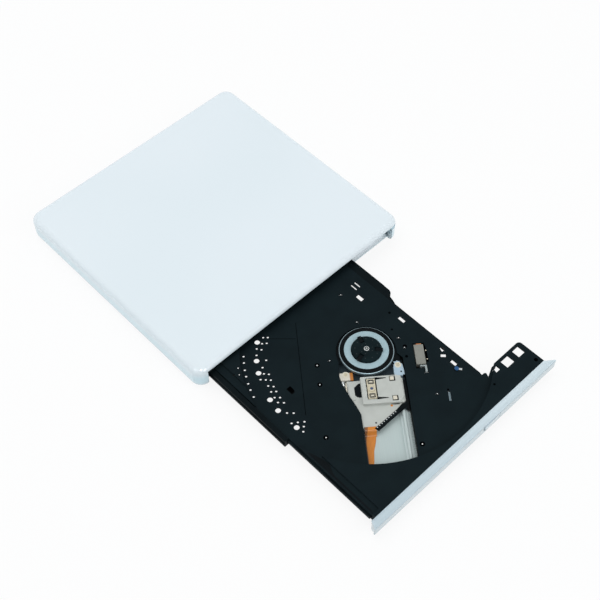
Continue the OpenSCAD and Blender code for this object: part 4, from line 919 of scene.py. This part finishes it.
def band_loop(y, z, skin):
    """The four corners of a flat band's section at each point of its path."""
    x = np.broadcast_to(sides[[0, 1, 1, 0]], (len(y), 4))
    sign = np.array((1, 1, -1, -1))
    return np.stack((x, y[:, None] + sign * skin[:, :1], z[:, None] + sign * skin[:, 1:]), -1)


cable = add_piece(
    "flat_cable_loop", [tube(band_loop(path_y, path_z, half_skin))], "cable_film", None, ["flat_cable"]
)
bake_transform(cable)

cross_x = np.linspace(cable_left + CABLE_W, cable_high[0], 12)[:, None]
cross_y = np.linspace(cable_high[1] - CABLE_W, cable_high[1], 5)[None, :]
cross_run = ribbon(cross_x, cross_y, cable_low[2], CABLE_T)
corner_x = np.linspace(cable_left, cable_left + CABLE_W, 4)[:, None]
corner_run = ribbon(corner_x, cross_y, cable_low[2], CABLE_T)
add_piece("flat_cable_cross", [tube(cross_run), tube(corner_run)], "cable_film", "case")

# %% [markdown]
# ## Lead screw
#
# The stepper motor turns a thin screw, and a toothed follower on the pickup rides in its thread.
# The surface is a cylinder whose radius dips along a helix: the dip depends on the angle plus the
# turns made along the screw. One turn moves the pickup three millimetres.

# %% Cut the thread of the lead screw
LEAD_R = 0.9
LEAD_PITCH = 3.0
LEAD_FROM, LEAD_TO = 15.0, 61.967
LEAD_SIDE, LEAD_Z = -13.0, 5.8
JOURNAL_R, JOURNAL_L = 0.5, 1.6
THREAD_DEPTH = 0.22
DIP_FROM, DIP_SLOPE = 0.55, 0.3
lead_u = np.linspace(LEAD_FROM, LEAD_TO, 320)[:, None]
lead_turn = full_turn(28)[None, :]
groove = np.cos(lead_turn + 2 * math.pi * lead_u / LEAD_PITCH) * 0.5 + 0.5
lead_r = LEAD_R - THREAD_DEPTH * smooth_step((groove - DIP_FROM) / DIP_SLOPE)


def rod(along, radius, turn, side, height):
    """A round bar along the slide: its points are radius * (cos t, sin t) about its axis."""
    along, radius, turn = np.broadcast_arrays(along, radius, turn)
    bar_side = side + radius * np.cos(turn)
    bar_height = height + radius * np.sin(turn)
    return tube(on_slide(np.stack((along, bar_side, bar_height), -1)))


journal_u = np.array((LEAD_FROM - JOURNAL_L, LEAD_TO + JOURNAL_L))[:, None]
add_piece(
    "threaded_screw",
    [rod(lead_u, lead_r, lead_turn, LEAD_SIDE, LEAD_Z),
     rod(journal_u, JOURNAL_R, lead_turn, LEAD_SIDE, LEAD_Z)],
    "screw_steel", "lead_screw", ["lead_screw"],
)

# %% [markdown]
# ## Screws
#
# Small cross head screws hold the case, the clamps and the boards. A head is a square grid pressed
# into a disc, so that the arms of the cross run along the grid lines and stay crisp. The height is
# a low dome minus the cross. The rim of the grid then drops to the seat, and a thin bar makes the
# shank.

# %% Write the screw shape
HEAD_CELLS = 16
HEAD_FALL = 0.3
CROSS_REACH, CROSS_HALF, CROSS_DEPTH = 0.66, 0.15, 0.55
SHANK_SIDES = 16
UP, DOWN = 1, -1


def screw(spot, seat, facing, head, shank):
    """A cross head screw: dome minus cross over a disc, a rim down to the seat, then a shank."""
    head_r, head_h = head
    shank_r, shank_l = shank
    line = np.linspace(-1, 1, HEAD_CELLS + 1)
    a, b = np.meshgrid(line, line, indexing="ij")
    x = a * np.sqrt(1 - b * b / 2)
    y = b * np.sqrt(1 - a * a / 2)
    arm = np.maximum(
        (np.abs(a) < CROSS_REACH) * (np.abs(b) < CROSS_HALF),
        (np.abs(b) < CROSS_REACH) * (np.abs(a) < CROSS_HALF),
    )
    height = head_h * (1 - HEAD_FALL * (x * x + y * y) - CROSS_DEPTH * arm)
    top = np.stack((spot[0] + head_r * x, spot[1] + head_r * y, seat + facing * height), -1)
    rim = np.concatenate((top[:-1, 0], top[-1, :-1], top[:0:-1, -1], top[0, :0:-1]))
    foot = rim.copy()
    foot[:, 2] = seat
    turn = full_turn(SHANK_SIDES)
    ring = np.stack((spot[0] + shank_r * np.cos(turn), spot[1] + shank_r * np.sin(turn),
                     np.full(SHANK_SIDES, seat)), -1)
    tip = ring - (0, 0, facing * shank_l)
    collar = grid(np.stack((rim, foot)), wrap_columns=True)
    collar[1].append(list(range(len(rim), 2 * len(rim))))
    return [grid(top), collar, tube(np.stack((ring, tip)))]


def add_screws(name, node, body, spots, seat, facing, head, shank, slot="screw_steel"):
    """Equal screws that stand for their node; head is radius and height, shank radius and length."""
    shapes = [shape for spot in spots for shape in screw(spot, seat, facing, head, shank)]
    add_piece(name, shapes, slot, body, [node])


# %% Place the screws
DRAWER_OUT = 106.8
DECK_Z = 7.6
case_spots = [(64.95, -63.4), (-64.95, -63.4), (61, 64.85), (-61, 64.85)]
clamp_spots = on_drawer([(11.5, -11.2), (8, 14.2)])
plate_spots = on_drawer([(6, -16.4), (31.974, -16.4), (55.948, -16.4), (22, 19.6), (47.948, 19.6)])
board_spots = [(x, y - DRAWER_OUT) for x, y in ((-21, 23.2), (9, 23.2), (-21, 53.6))]
deck_spots = from_spindle(
    [(9, 15.2), (17, -5.2), (15, -11), (7.2, -39.2), (14.9, 32.2), (-16.2, 8.6)]
)
add_screws("case_cross_screws", "case_screws", "case", case_spots, 1.55, DOWN,
           head=(1.5, 0.5), shank=(0.7, 5.5))
add_screws("clamp_cross_screws", "clamp_screws", "drawer", clamp_spots, 6.82, UP,
           head=(0.8, 0.4), shank=(0.45, 1.2), slot="holder_grey")
add_screws("plate_cross_screws", "cover_screws", "drawer", plate_spots, 3.69, DOWN,
           head=(1.1, 0.25), shank=(0.45, 0.4))
add_screws("board_cross_screws", "drawer_board_screws", "drawer", board_spots, 4.68, DOWN,
           head=(1.3, 0.5), shank=(0.5, 0.8))
add_screws("deck_cross_screws", "deck_screws", "drawer", deck_spots, DECK_Z, UP,
           head=(0.7, 0.25), shank=(0.65, 1.4), slot="hub_black")

# %% [markdown]
# ## Coils of the lens and the latch magnet
#
# Square loops of fine wire move the lens, and a wound bobbin pulls the latch. A loop is a profile
# carried round a square path with round corners. The path is a superellipse, whose exponent sets
# how square it is, and the profile has one small wave for each turn of wire.

# %% Wind the coils
TURN_SWELL = 0.12


def square_path(power=6.0, steps=48):
    """A rounded square: |a|^p + |b|^p = 1, from signed powers of the cosine and sine."""
    turn = full_turn(steps)
    a = np.sign(np.cos(turn)) * np.abs(np.cos(turn)) ** (2 / power)
    b = np.sign(np.sin(turn)) * np.abs(np.sin(turn)) ** (2 / power)
    return a, b


def loop_band(half_a, half_b, thick, low, high, turns):
    """A wound loop: its outer wall has one wave per turn, its inner wall is plain."""
    rise = np.linspace(0, 1, 6 * turns + 1)
    swell = TURN_SWELL * thick * np.abs(np.sin(math.pi * turns * rise))
    inset = np.concatenate((-swell, [thick, thick]))
    level = np.concatenate((low + (high - low) * rise, [high, low]))
    a, b = square_path()
    along = a[:, None] * (half_a - inset)
    across = b[:, None] * (half_b - inset)
    return along, across, np.broadcast_to(level, along.shape)


def closed_loop(along, across, height):
    """A surface on the slide that closes both ways, as a ring does."""
    return grid(on_slide(np.stack((along, across, height), -1)), wrap_rows=True, wrap_columns=True)


LENS_U = 20.8
COIL_REACH = 3.7
HOLDER_TOP = box_of("lens_holder")[1][2]
coil_spots = [LENS_U + side * COIL_REACH for side in (-1, 1)]
along, across, level = loop_band(
    half_a=1.15, half_b=1.45, thick=0.32, low=HOLDER_TOP - 1.2, high=HOLDER_TOP + 0.06, turns=5
)
focus_coils = [closed_loop(spot + along, across, level) for spot in coil_spots]
add_piece("focus_coils", focus_coils, "motor_dark", "lens")
core = square(1) * (0.4, 0.7)
cores = [plate(core, HOLDER_TOP - 0.5, HOLDER_TOP + 0.1, (spot, 0)) for spot in coil_spots]
add_piece("coil_cores", cores, "pale_plastic", "lens")

COIL_END, COIL_T = -1.92, 0.68
COIL_MID_W, COIL_MID_Z = 25.5, 6.45
along, across, level = loop_band(
    half_a=1.5, half_b=1.15, thick=1.0, low=COIL_END - COIL_T, high=COIL_END, turns=4
)
bobbin = closed_loop(level, COIL_MID_W + along, COIL_MID_Z + across)
add_piece("latch_winding", [bobbin], "coil_copper", "drawer", ["solenoid_coil"])

# %% [markdown]
# ## Small parts of the pickup
#
# Two pale magnets sit in square holes of the pickup's cover. The dark gap round them, the slits
# beside the lens, the gaps along its window, the cut in the body and a hole in its tail are painted
# shade: black plates where these deep openings fall into shade. Each is a thin plate: an outline on
# the slide carried from one height to another.

# %% Set the magnets and the plates of painted shade
COVER_Z, COVER_TOP = (corner[2] for corner in box_of("pickup_cover"))
MAGNET_SPOTS = [(LENS_U - 4.8, 10.3), (LENS_U + 5.8, 10.5)]
MAGNET_H = 0.38
magnet = square(0.95) - (0.1, 0.15)
magnets = [plate(magnet, COVER_Z, COVER_Z + MAGNET_H, spot) for spot in MAGNET_SPOTS]
add_piece("magnets", magnets, "pale_plastic", "pickup")

SLIT = np.array(((4.6, 2.1), (6, 2.1), (5.6, 7.3), (5.2, 7.3)))
KIDNEY = [(-4.2, -4.9), (-4.0, -5.9), (-1.9, -8.1), (1.4, -8.6), (3.2, -7.0), (3.6, -4.9)]
GAP = [(7.0, 7.8), (7.9, 7.6), (8.5, 9.9), (8.4, 12.2), (7.3, 12.2), (7.3, 10.4)]
WINDOW_GAPS = [(-4.6, 4.6, 2.3), (-4.8, -2.9, -2.3), (-1.9, -0.9, -2.3), (0.4, 1.6, -2.3),
               (2.6, 5.0, -2.3)]
WINDOW_GAP_HALF = 0.2
PATCH_T = 0.02
SHADE_PLATE_H, SHADE_PLATE_LIFT = 0.12, 0.03
well = square(1.36)
tail_hole = on_drawer([(38.2, 0.0)])[0]


def gap_line(start, end, across):
    """The outline of a narrow straight gap along the slide."""
    near, far = across - WINDOW_GAP_HALF, across + WINDOW_GAP_HALF
    return [(start, near), (end, near), (end, far), (start, far)]


# Black plates of painted shade in the magnet gaps, the slits, the cut, the tail hole and the window gaps.
shade_plates = [plate(well, COVER_Z, COVER_Z + SHADE_PLATE_H, spot) for spot in MAGNET_SPOTS]
shade_plates += [plate(SLIT * (side, 1), COVER_Z, COVER_Z + SHADE_PLATE_H, (LENS_U, 0)) for side in (-1, 1)]
shade_plates += [plate(shape, BODY_Z - SHADE_PLATE_H, BODY_Z + SHADE_PLATE_LIFT, (LENS_U, 0)) for shape in (KIDNEY, GAP)]
shade_plates.append(dome(tail_hole, 0.45, 0.04, BODY_Z))
shade_plates += [plate(gap_line(*gap), COVER_TOP - PATCH_T, COVER_TOP + PATCH_T, (LENS_U, 0))
            for gap in WINDOW_GAPS]
add_piece("painted_shade_plates", shade_plates, "hub_black", "pickup")

# %% [markdown]
# ## Edge of the pickup
#
# A black strip of contacts runs along the slanted edge of the pickup's tail. It is a plate along
# that edge with a row of small bright tips, which are low domes, and a drop of solder lies beside
# it. Its free end is thinner, so that it passes over the clamp at the end of the slide and under
# the deck.

# %% Fit the contact strip
STRIP = [(20.4, -1.0), (11.5, 10.2), (10.4, 11.4), (12.6, 12.3), (21.8, 0.8)]
STRIP_END = [(10.6, 11.2), (8.3, 13.4), (8.3, 16.3), (9.6, 16.3), (12.8, 12.1)]
STRIP_TOP, STRIP_LIFT = 6.92, 0.02
END_T = 0.08
strip = [plate(STRIP, BODY_Z + STRIP_LIFT, STRIP_TOP, (LENS_U, 0)),
         plate(STRIP_END, STRIP_TOP - END_T, STRIP_TOP, (LENS_U, 0))]
add_piece("contact_strip", strip, "hub_black", "pickup")
TIPS, TIP_SINK = 9, 0.01
tip_start, tip_reach = np.array((LENS_U + 20.6, -0.6)), np.array((-8.8, 11.2))
tip_spots = on_drawer(tip_start + tip_reach * np.linspace(0.08, 0.92, TIPS)[:, None])
tips = [dome(spot, 0.3, 0.06, STRIP_TOP - TIP_SINK) for spot in tip_spots]
add_piece("contact_tips", tips, "screw_steel", "pickup")
solder_spot = on_drawer([(LENS_U + 8.9, 8.4)])[0]
add_piece("solder_drop", [dome(solder_spot, 0.6, 0.15, BODY_Z)], "flex_orange", "pickup")

# %% [markdown]
# ## Cell of the lens
#
# The lens sits in a cream cell, so that only its middle shows. The cell is a ring with a sloped
# inner side, turned about the lens.

# %% Turn the lens cell
LENS_TOP = box_of("lens")[1][2]
CELL_IN, CELL_EDGE, CELL_OUT = 0.75, 0.95, 1.7
cell_low = HOLDER_TOP - 0.1
lens_centre = on_drawer([(LENS_U, 0)])[0]
cell = [(CELL_IN, LENS_TOP - 0.05), (CELL_EDGE, LENS_TOP + 0.12), (CELL_OUT, LENS_TOP + 0.08),
        (CELL_OUT, cell_low), (CELL_IN, cell_low)]
add_piece("lens_cell", [lathe(cell, lens_centre, 48)], "holder_grey", "lens")

# %% [markdown]
# ## Washers, tips and springs
#
# A pale washer lies under each clamp screw, and the right clamp ends in a thin tab with a stamped
# outline. Bright tips in the deck's screws and pits are painted highlights: small steel domes that
# stand for the glints on them. A grey earth spring shows through the curved slit near the front.
# All are turned rings, domes or plates again.

# %% Place the washers, the tab and the tips for the glints
CLAMP_TOP = box_of("rod_clamps")[1][2]
CLAMP_SINK, WASHER_T, TAB_T = 0.02, 0.12, 0.06
WASHER_IN, WASHER_OUT = 0.6, 1.6
clamp_seat, washer_top = CLAMP_TOP - CLAMP_SINK, CLAMP_TOP + WASHER_T
washer = [(WASHER_IN, clamp_seat), (WASHER_IN, washer_top), (WASHER_OUT, washer_top),
          (WASHER_OUT, clamp_seat)]
washers = [lathe(washer, spot, 48) for spot in clamp_spots]
add_piece("clamp_washer", washers, "pale_plastic", "drawer")
TAB = [(6.1, 13.4), (5.9, 12.3), (7.2, 12.6), (8.1, 12.1), (10.9, 12.1), (13.3, 15.0), (13.6, 16.8),
       (10.6, 16.7), (7.7, 16.3), (6.4, 14.9), (4.5, 14.5)]
tab_top = CLAMP_TOP + TAB_T
clamp_tab = add_piece("clamp_tab", [plate(TAB, clamp_seat, tab_top)], slot_of["rod_clamps"], "drawer")
clamp_tab.data.materials[0] = nodes["rod_clamps"].data.materials[0]

TIP_LIFT = 0.2
pit_spots = from_spindle([(-22.3, 10.9), (-28.8, 2.4), (-46.4, -19.5), (-17.2, -52.1)])
# Painted highlights: bright steel tips that stand for the glints on the black screw heads and in the
# pits.
screw_glints = [dome(spot, 0.28, 0.06, DECK_Z + TIP_LIFT) for spot in deck_spots]
pit_glints = [dome(spot, 0.35, 0.1, DECK_Z) for spot in pit_spots]
add_piece("deck_glints", screw_glints + pit_glints, "screw_steel", "drawer")

# %% Bend the earth spring
SPRING_MID = np.array((11.2, -152.6))
SPRING_TURN = math.radians(-41)
SPRING_HALF_L, SPRING_HALF_W, SPRING_T = 2.4, 0.5, 0.15
SPRING_Z, SPRING_WAVE = 7.05, 0.05
spring_run = np.linspace(-SPRING_HALF_L, SPRING_HALF_L, 12)[:, None]
spring_side = np.linspace(-SPRING_HALF_W, SPRING_HALF_W, 4)[None, :]
spring_x = SPRING_MID[0] + spring_side * math.cos(SPRING_TURN) - spring_run * math.sin(SPRING_TURN)
spring_y = SPRING_MID[1] + spring_side * math.sin(SPRING_TURN) + spring_run * math.cos(SPRING_TURN)
spring_z = SPRING_Z + SPRING_WAVE * np.cos(spring_run)
add_piece("earth_spring", [tube(ribbon(spring_x, spring_y, spring_z, SPRING_T))], "table_grey", "drawer")

# %% [markdown]
# ## Ring of painted shade behind the turntable
#
# Behind the turntable a black ring fills the gap between the motor and the deck: painted shade that
# stands for the shade in that gap. It is a plate whose outline runs along an arc and back along a
# smaller one. It leaves the pickup's side open.

# %% Cut the ring of painted shade
GAP_SHADE_INNER, GAP_SHADE_OUTER = 11.8, 16.2
GAP_SHADE_LOW, GAP_SHADE_HIGH = 6.72, 6.9
GAP_SHADE_FROM, GAP_SHADE_TO = 68, 292
gap_shade_turn = np.radians(np.linspace(GAP_SHADE_FROM, GAP_SHADE_TO, 57))
arc = np.column_stack((np.cos(gap_shade_turn), np.sin(gap_shade_turn)))
gap_shade_outline = np.concatenate((GAP_SHADE_OUTER * arc, GAP_SHADE_INNER * arc[::-1]))
add_piece("gap_shade_ring", [plate(gap_shade_outline, GAP_SHADE_LOW, GAP_SHADE_HIGH)], "hub_black", "drawer")

# %% [markdown]
# ## Seams, blind holes and grooves of the deck
#
# The black deck shows dark lines where its tool was split, and blind holes where pins pushed it
# out of the mould. The holes, a blind slot, a gap beside the latch magnet with two pale pins, and
# a groove along the left rail get painted shade: black patches where shade falls into them. The
# lines are thin bars with a sloped section, carried along a straight path. The holes are flat
# domes, and the rest are thin patches.

# %% Draw the deck's seams and the painted shade of its holes
SEAM_HALF, SEAM_H, SEAM_SINK = 0.16, 0.03, 0.02
HOLE_H = 0.03


def seam(start, end):
    """A low ridge: a sloped section of four points carried from one end to the other."""
    start, end = np.array(start, float), np.array(end, float)
    along = (end - start) / np.linalg.norm(end - start)
    side = np.array((-along[1], along[0]))
    offset = np.array((-1, -0.4, 0.4, 1))[:, None] * SEAM_HALF * side
    section = DECK_Z + np.array((-SEAM_SINK, SEAM_H, SEAM_H, -SEAM_SINK))
    height = np.broadcast_to(section, (2, len(section)))
    flat = np.stack((start + offset, end + offset))
    return tube(np.concatenate((flat, height[..., None]), -1))


def patch(outline, level):
    """A thin patch: an outline in the row frame, carried from just below a level to just above it."""
    return tube(slab(outline, level - PATCH_T, level + PATCH_T))


BLIND_SLOT = [(-40.8, -97.2), (-38.8, -97.0), (-38.9, -100.2), (-40.9, -100.3)]
MAGNET_GAP = [(-3.2, 28.0), (-0.2, 28.7), (8.0, 29.1), (8.0, 28.0), (-0.3, 27.9)]
HOLES = [(24.6, 8.0, 0.65), (18.3, 0.4, 0.55), (15.7, -10.6, 1.05), (12.1, -15.1, 0.75),
         (12.6, -41.1, 0.55)]
SHELF_Z = 9.6
SHELF_HOLES = [(54.5, -168.3, 1.0), (29.9, -163.5, 0.6)]
clamp_hole = on_drawer([(11.8, 15.3)])[0]
hole_spots = from_spindle([(x, y) for x, y, _ in HOLES])
seams_and_hole_shade = [seam((-12.1, -72.8), (-44.3, -113.3)), seam((-27.6, -71.0), (-18.5, -79.7)),
         patch(BLIND_SLOT, DECK_Z), plate(MAGNET_GAP, DECK_Z - PATCH_T, DECK_Z + PATCH_T)]
seams_and_hole_shade += [dome(spot, hole[2], HOLE_H, DECK_Z) for spot, hole in zip(hole_spots, HOLES)]
seams_and_hole_shade += [dome(spot, 1.25, 0.02, DECK_Z) for spot in pit_spots]
seams_and_hole_shade += [dome((x, y), radius, HOLE_H, SHELF_Z) for x, y, radius in SHELF_HOLES]
seams_and_hole_shade.append(dome(clamp_hole, 0.45, HOLE_H, tab_top))
deck_seams_and_shade = add_piece("deck_seams_and_hole_shade", seams_and_hole_shade, "hub_black", "drawer")
# Black for the dark seams, and painted shade for the holes, the blind slot and the gap.
seam_and_shade_black = moulded(paint(0, 0, 0), paint(4, 5, 6), 5, 0.9, 0.0)
deck_seams_and_shade.data.materials[0] = make_finish("seam_black_and_painted_shade", seam_and_shade_black)

# %% Paint shade into the rail's groove and set the latch pins
LEDGE_Z, FLANGE_Z = 9.0, 6.9
RAIL_GROOVE = [(-57.9, -128.2), (-57.0, -128.9), (-55.7, -133.1), (-54.9, -136.1), (-54.6, -139.6),
               (-56.5, -143.1), (-57.0, -145.2), (-57.0, -167.6), (-57.9, -169.4)]
RAIL_STRIP = [(-58.95, -141), (-58.05, -141), (-58.05, -169.5), (-58.95, -169.5)]
# Painted shade: black patches in the rail's groove and along the strip below its edge.
rail_painted_shade = [patch(RAIL_GROOVE, LEDGE_Z), patch(RAIL_STRIP, FLANGE_Z)]
add_piece("rail_groove_shade", rail_painted_shade, "hub_black", "drawer")
latch_tips = [dome(spot, 0.35, 0.12, DECK_Z) for spot in on_drawer([(1.5, 28.5), (6.4, 28.5)])]
add_piece("latch_tips", latch_tips, "holder_grey", "drawer")

# %% [markdown]
# ## Trim of the bezel
#
# A round lip runs along the bezel's upper edge, over the front wall of the tray. Its front band
# ends in a thin skirt, which hides the gap below it and is lower where it passes under the button.
# Both are bars: a section of depth and height carried along a straight path.

# %% Trim the bezel
def bar(section, ends):
    """A section of depth and height, carried along x from one end to the other."""
    section = np.asarray(section, float)
    x = np.broadcast_to(np.asarray(ends, float)[:, None, None], (2, len(section), 1))
    return tube(np.concatenate((x, np.broadcast_to(section, (2, *section.shape))), -1))


bezel_low, bezel_high = box_of("front_bezel")
bezel_front, bezel_back, bezel_top = bezel_low[1], bezel_high[1], bezel_high[2]
SKIRT_TOP, SKIRT_LOW = 6.45, 3.0
SKIRT_T, SKIRT_EDGE = 0.75, 0.22
SKIRT_FROM, SKIRT_TO = -62.3, 61.5
BUTTON_FROM, BUTTON_TO, BUTTON_GAP = 9.5, 21.1, 0.3
under_button = box_of("eject_button")[0][2] - BUTTON_GAP


def skirt(ends, top):
    """One run of the skirt: a bar with its lower front edge cut off."""
    section = [
        (bezel_front, top), (bezel_front, SKIRT_LOW + SKIRT_EDGE), (bezel_front + SKIRT_EDGE, SKIRT_LOW),
        (bezel_front + SKIRT_T, SKIRT_LOW), (bezel_front + SKIRT_T, top),
    ]
    return bar(section, ends)


LIP_REACH, LIP_ROOT = 0.65, 0.2
LIP_LOW, LIP_CROWN = 9.65, 0.05
LIP_ENDS = (-61.2, 56.6)
lip_turn = np.linspace(0, math.pi / 2, 5)
lip_round = np.column_stack((
    bezel_back + LIP_REACH * np.sin(lip_turn),
    LIP_LOW + LIP_CROWN + (bezel_top - LIP_LOW) * np.cos(lip_turn),
))
lip_section = [*lip_round, (bezel_back + LIP_REACH, LIP_LOW), (bezel_back - LIP_ROOT, LIP_LOW),
               (bezel_back - LIP_ROOT, bezel_top)]
trim = [
    skirt((SKIRT_FROM, BUTTON_FROM), SKIRT_TOP), skirt((BUTTON_FROM, BUTTON_TO), under_button),
    skirt((BUTTON_TO, SKIRT_TO), SKIRT_TOP), bar(lip_section, LIP_ENDS),
]
bezel_trim = add_piece("bezel_trim", trim, slot_of["front_bezel"], "drawer")
bezel_trim.data.materials[0] = nodes["front_bezel"].data.materials[0]

# %% [markdown]
# ## Sill of the mouth
#
# To the right of the drawer the lower case rises to a pale sill, which closes the mouth below the
# bracket. It is a profile that climbs smoothly towards the inside, carried along a straight path.

# %% Raise the sill
SILL_FROM, SILL_TO = 36.9, 62.8
SILL_FRONT, SILL_BACK = -63.42, -61.0
SILL_LOW, SILL_H = 2.0, 1.75
SILL_EDGE, SILL_STEEP = 0.02, 1.3
sill_x = np.linspace(SILL_FROM, SILL_TO, 2)[:, None]
sill_share = np.linspace(0, 1, 13)[None, :]
sill_y = SILL_FRONT + (SILL_BACK - SILL_FRONT) * sill_share
sill_rise = SILL_EDGE + SILL_H * smooth_step(sill_share * SILL_STEEP)
sill_loop = ribbon(sill_x, sill_y, SILL_LOW, sill_rise)
add_piece("mouth_sill", [tube(sill_loop)], "white_gloss", "case")

# %% [markdown]
# ## Floor, light and background
#
# The drive stands on a pale floor in front of white. Two large soft lamps light it, one from above
# and behind, one from the front, and the room fills the rest. Three cards show only in gloss, and
# give the rounded edges and the near corner their highlights. To the camera, and in reflections,
# the floor and the room are close to white, and the floor still takes a part of the shadow.

# %% Lay the floor and set the lights
def seen_directly(start):
    """1 for what the camera sees, also by reflection or through glass, and 0 for other light."""
    path = {name: start.node("ShaderNodeLightPath", out=name)
            for name in ("Is Camera Ray", "Is Glossy Ray", "Is Transmission Ray")}
    either = path["Is Camera Ray"].math("MAXIMUM", path["Is Camera Ray"], path["Is Glossy Ray"])
    return either.math("MAXIMUM", either, path["Is Transmission Ray"])


ROOM = 0.62
WHITE_SHARE = 0.88
world = bpy.data.worlds.new("studio")
world.use_nodes = True
sky = Wire(world.node_tree)
room = sky.node("ShaderNodeBackground", None, {"Color": (0.97, 0.99, 1.0, 1), "Strength": ROOM})
white = sky.node("ShaderNodeBackground", None, {"Color": (1, 1, 1, 1), "Strength": 1.0})
shown = sky.node("ShaderNodeMixShader", None, {0: seen_directly(sky), 1: room, 2: white})
world.node_tree.links.new(shown.socket, world.node_tree.nodes["World Output"].inputs["Surface"])
scene.world = world

floor_paint = bpy.data.materials.new("floor")
floor_paint.use_nodes = True
ground = Wire(floor_paint.node_tree)
matt = ground.node("ShaderNodeBsdfDiffuse", None, {"Color": (0.93, 0.94, 0.95, 1)})
glow = ground.node("ShaderNodeEmission", None, {"Color": (1, 1, 1, 1), "Strength": 1.0})
share = seen_directly(ground) * WHITE_SHARE
surface = ground.node("ShaderNodeMixShader", None, {0: share, 1: matt, 2: glow})
floor_output = floor_paint.node_tree.nodes["Material Output"]
floor_paint.node_tree.links.new(surface.socket, floor_output.inputs["Surface"])
FLOOR_HALF = 3.0
floor_mesh = bpy.data.meshes.new("floor")
floor_corners = [(x, y, 0) for x, y in square(FLOOR_HALF).tolist()]
floor_mesh.from_pydata(floor_corners, [], [(0, 1, 2, 3)])
floor_mesh.materials.append(floor_paint)
floor = bpy.data.objects.new("floor", floor_mesh)
scene.collection.objects.link(floor)


def soft_light(name, place, target, size, power, card=False):
    """A square area light that faces a target. A card only shows in glossy surfaces, a lamp never."""
    lamp = bpy.data.lights.new(name, "AREA")
    lamp.size = size
    lamp.energy = power
    holder = bpy.data.objects.new(name, lamp)
    holder.location = place
    holder.rotation_euler = (Vector(target) - Vector(place)).to_track_quat("-Z", "Y").to_euler()
    holder.visible_diffuse = not card
    holder.visible_glossy = card
    scene.collection.objects.link(holder)


MIDDLE, EDGE_SPOT = (0, -0.05, 0), (-0.06, -0.06, 0)
NEAR_CORNER = Vector((-0.066, -0.064, 0.012))
CARD_REACH, CARD_LIFT = 1.6, Vector((0, 0, 0.25))
corner_place = NEAR_CORNER + (camera.location - NEAR_CORNER).normalized() * CARD_REACH + CARD_LIFT
soft_light("top", (-0.15, 0.35, 1.15), MIDDLE, size=0.9, power=4.6)
soft_light("front", (0.25, -1.0, 0.7), MIDDLE, size=0.7, power=2.6)
soft_light("left card", (-0.86, 0.02, 0.82), EDGE_SPOT, size=0.4, power=2.4, card=True)
soft_light("front card", (0.0, -0.92, 0.82), EDGE_SPOT, size=0.4, power=2.4, card=True)
soft_light("corner card", corner_place, NEAR_CORNER, size=0.3, power=14, card=True)
print("floor and lights set")
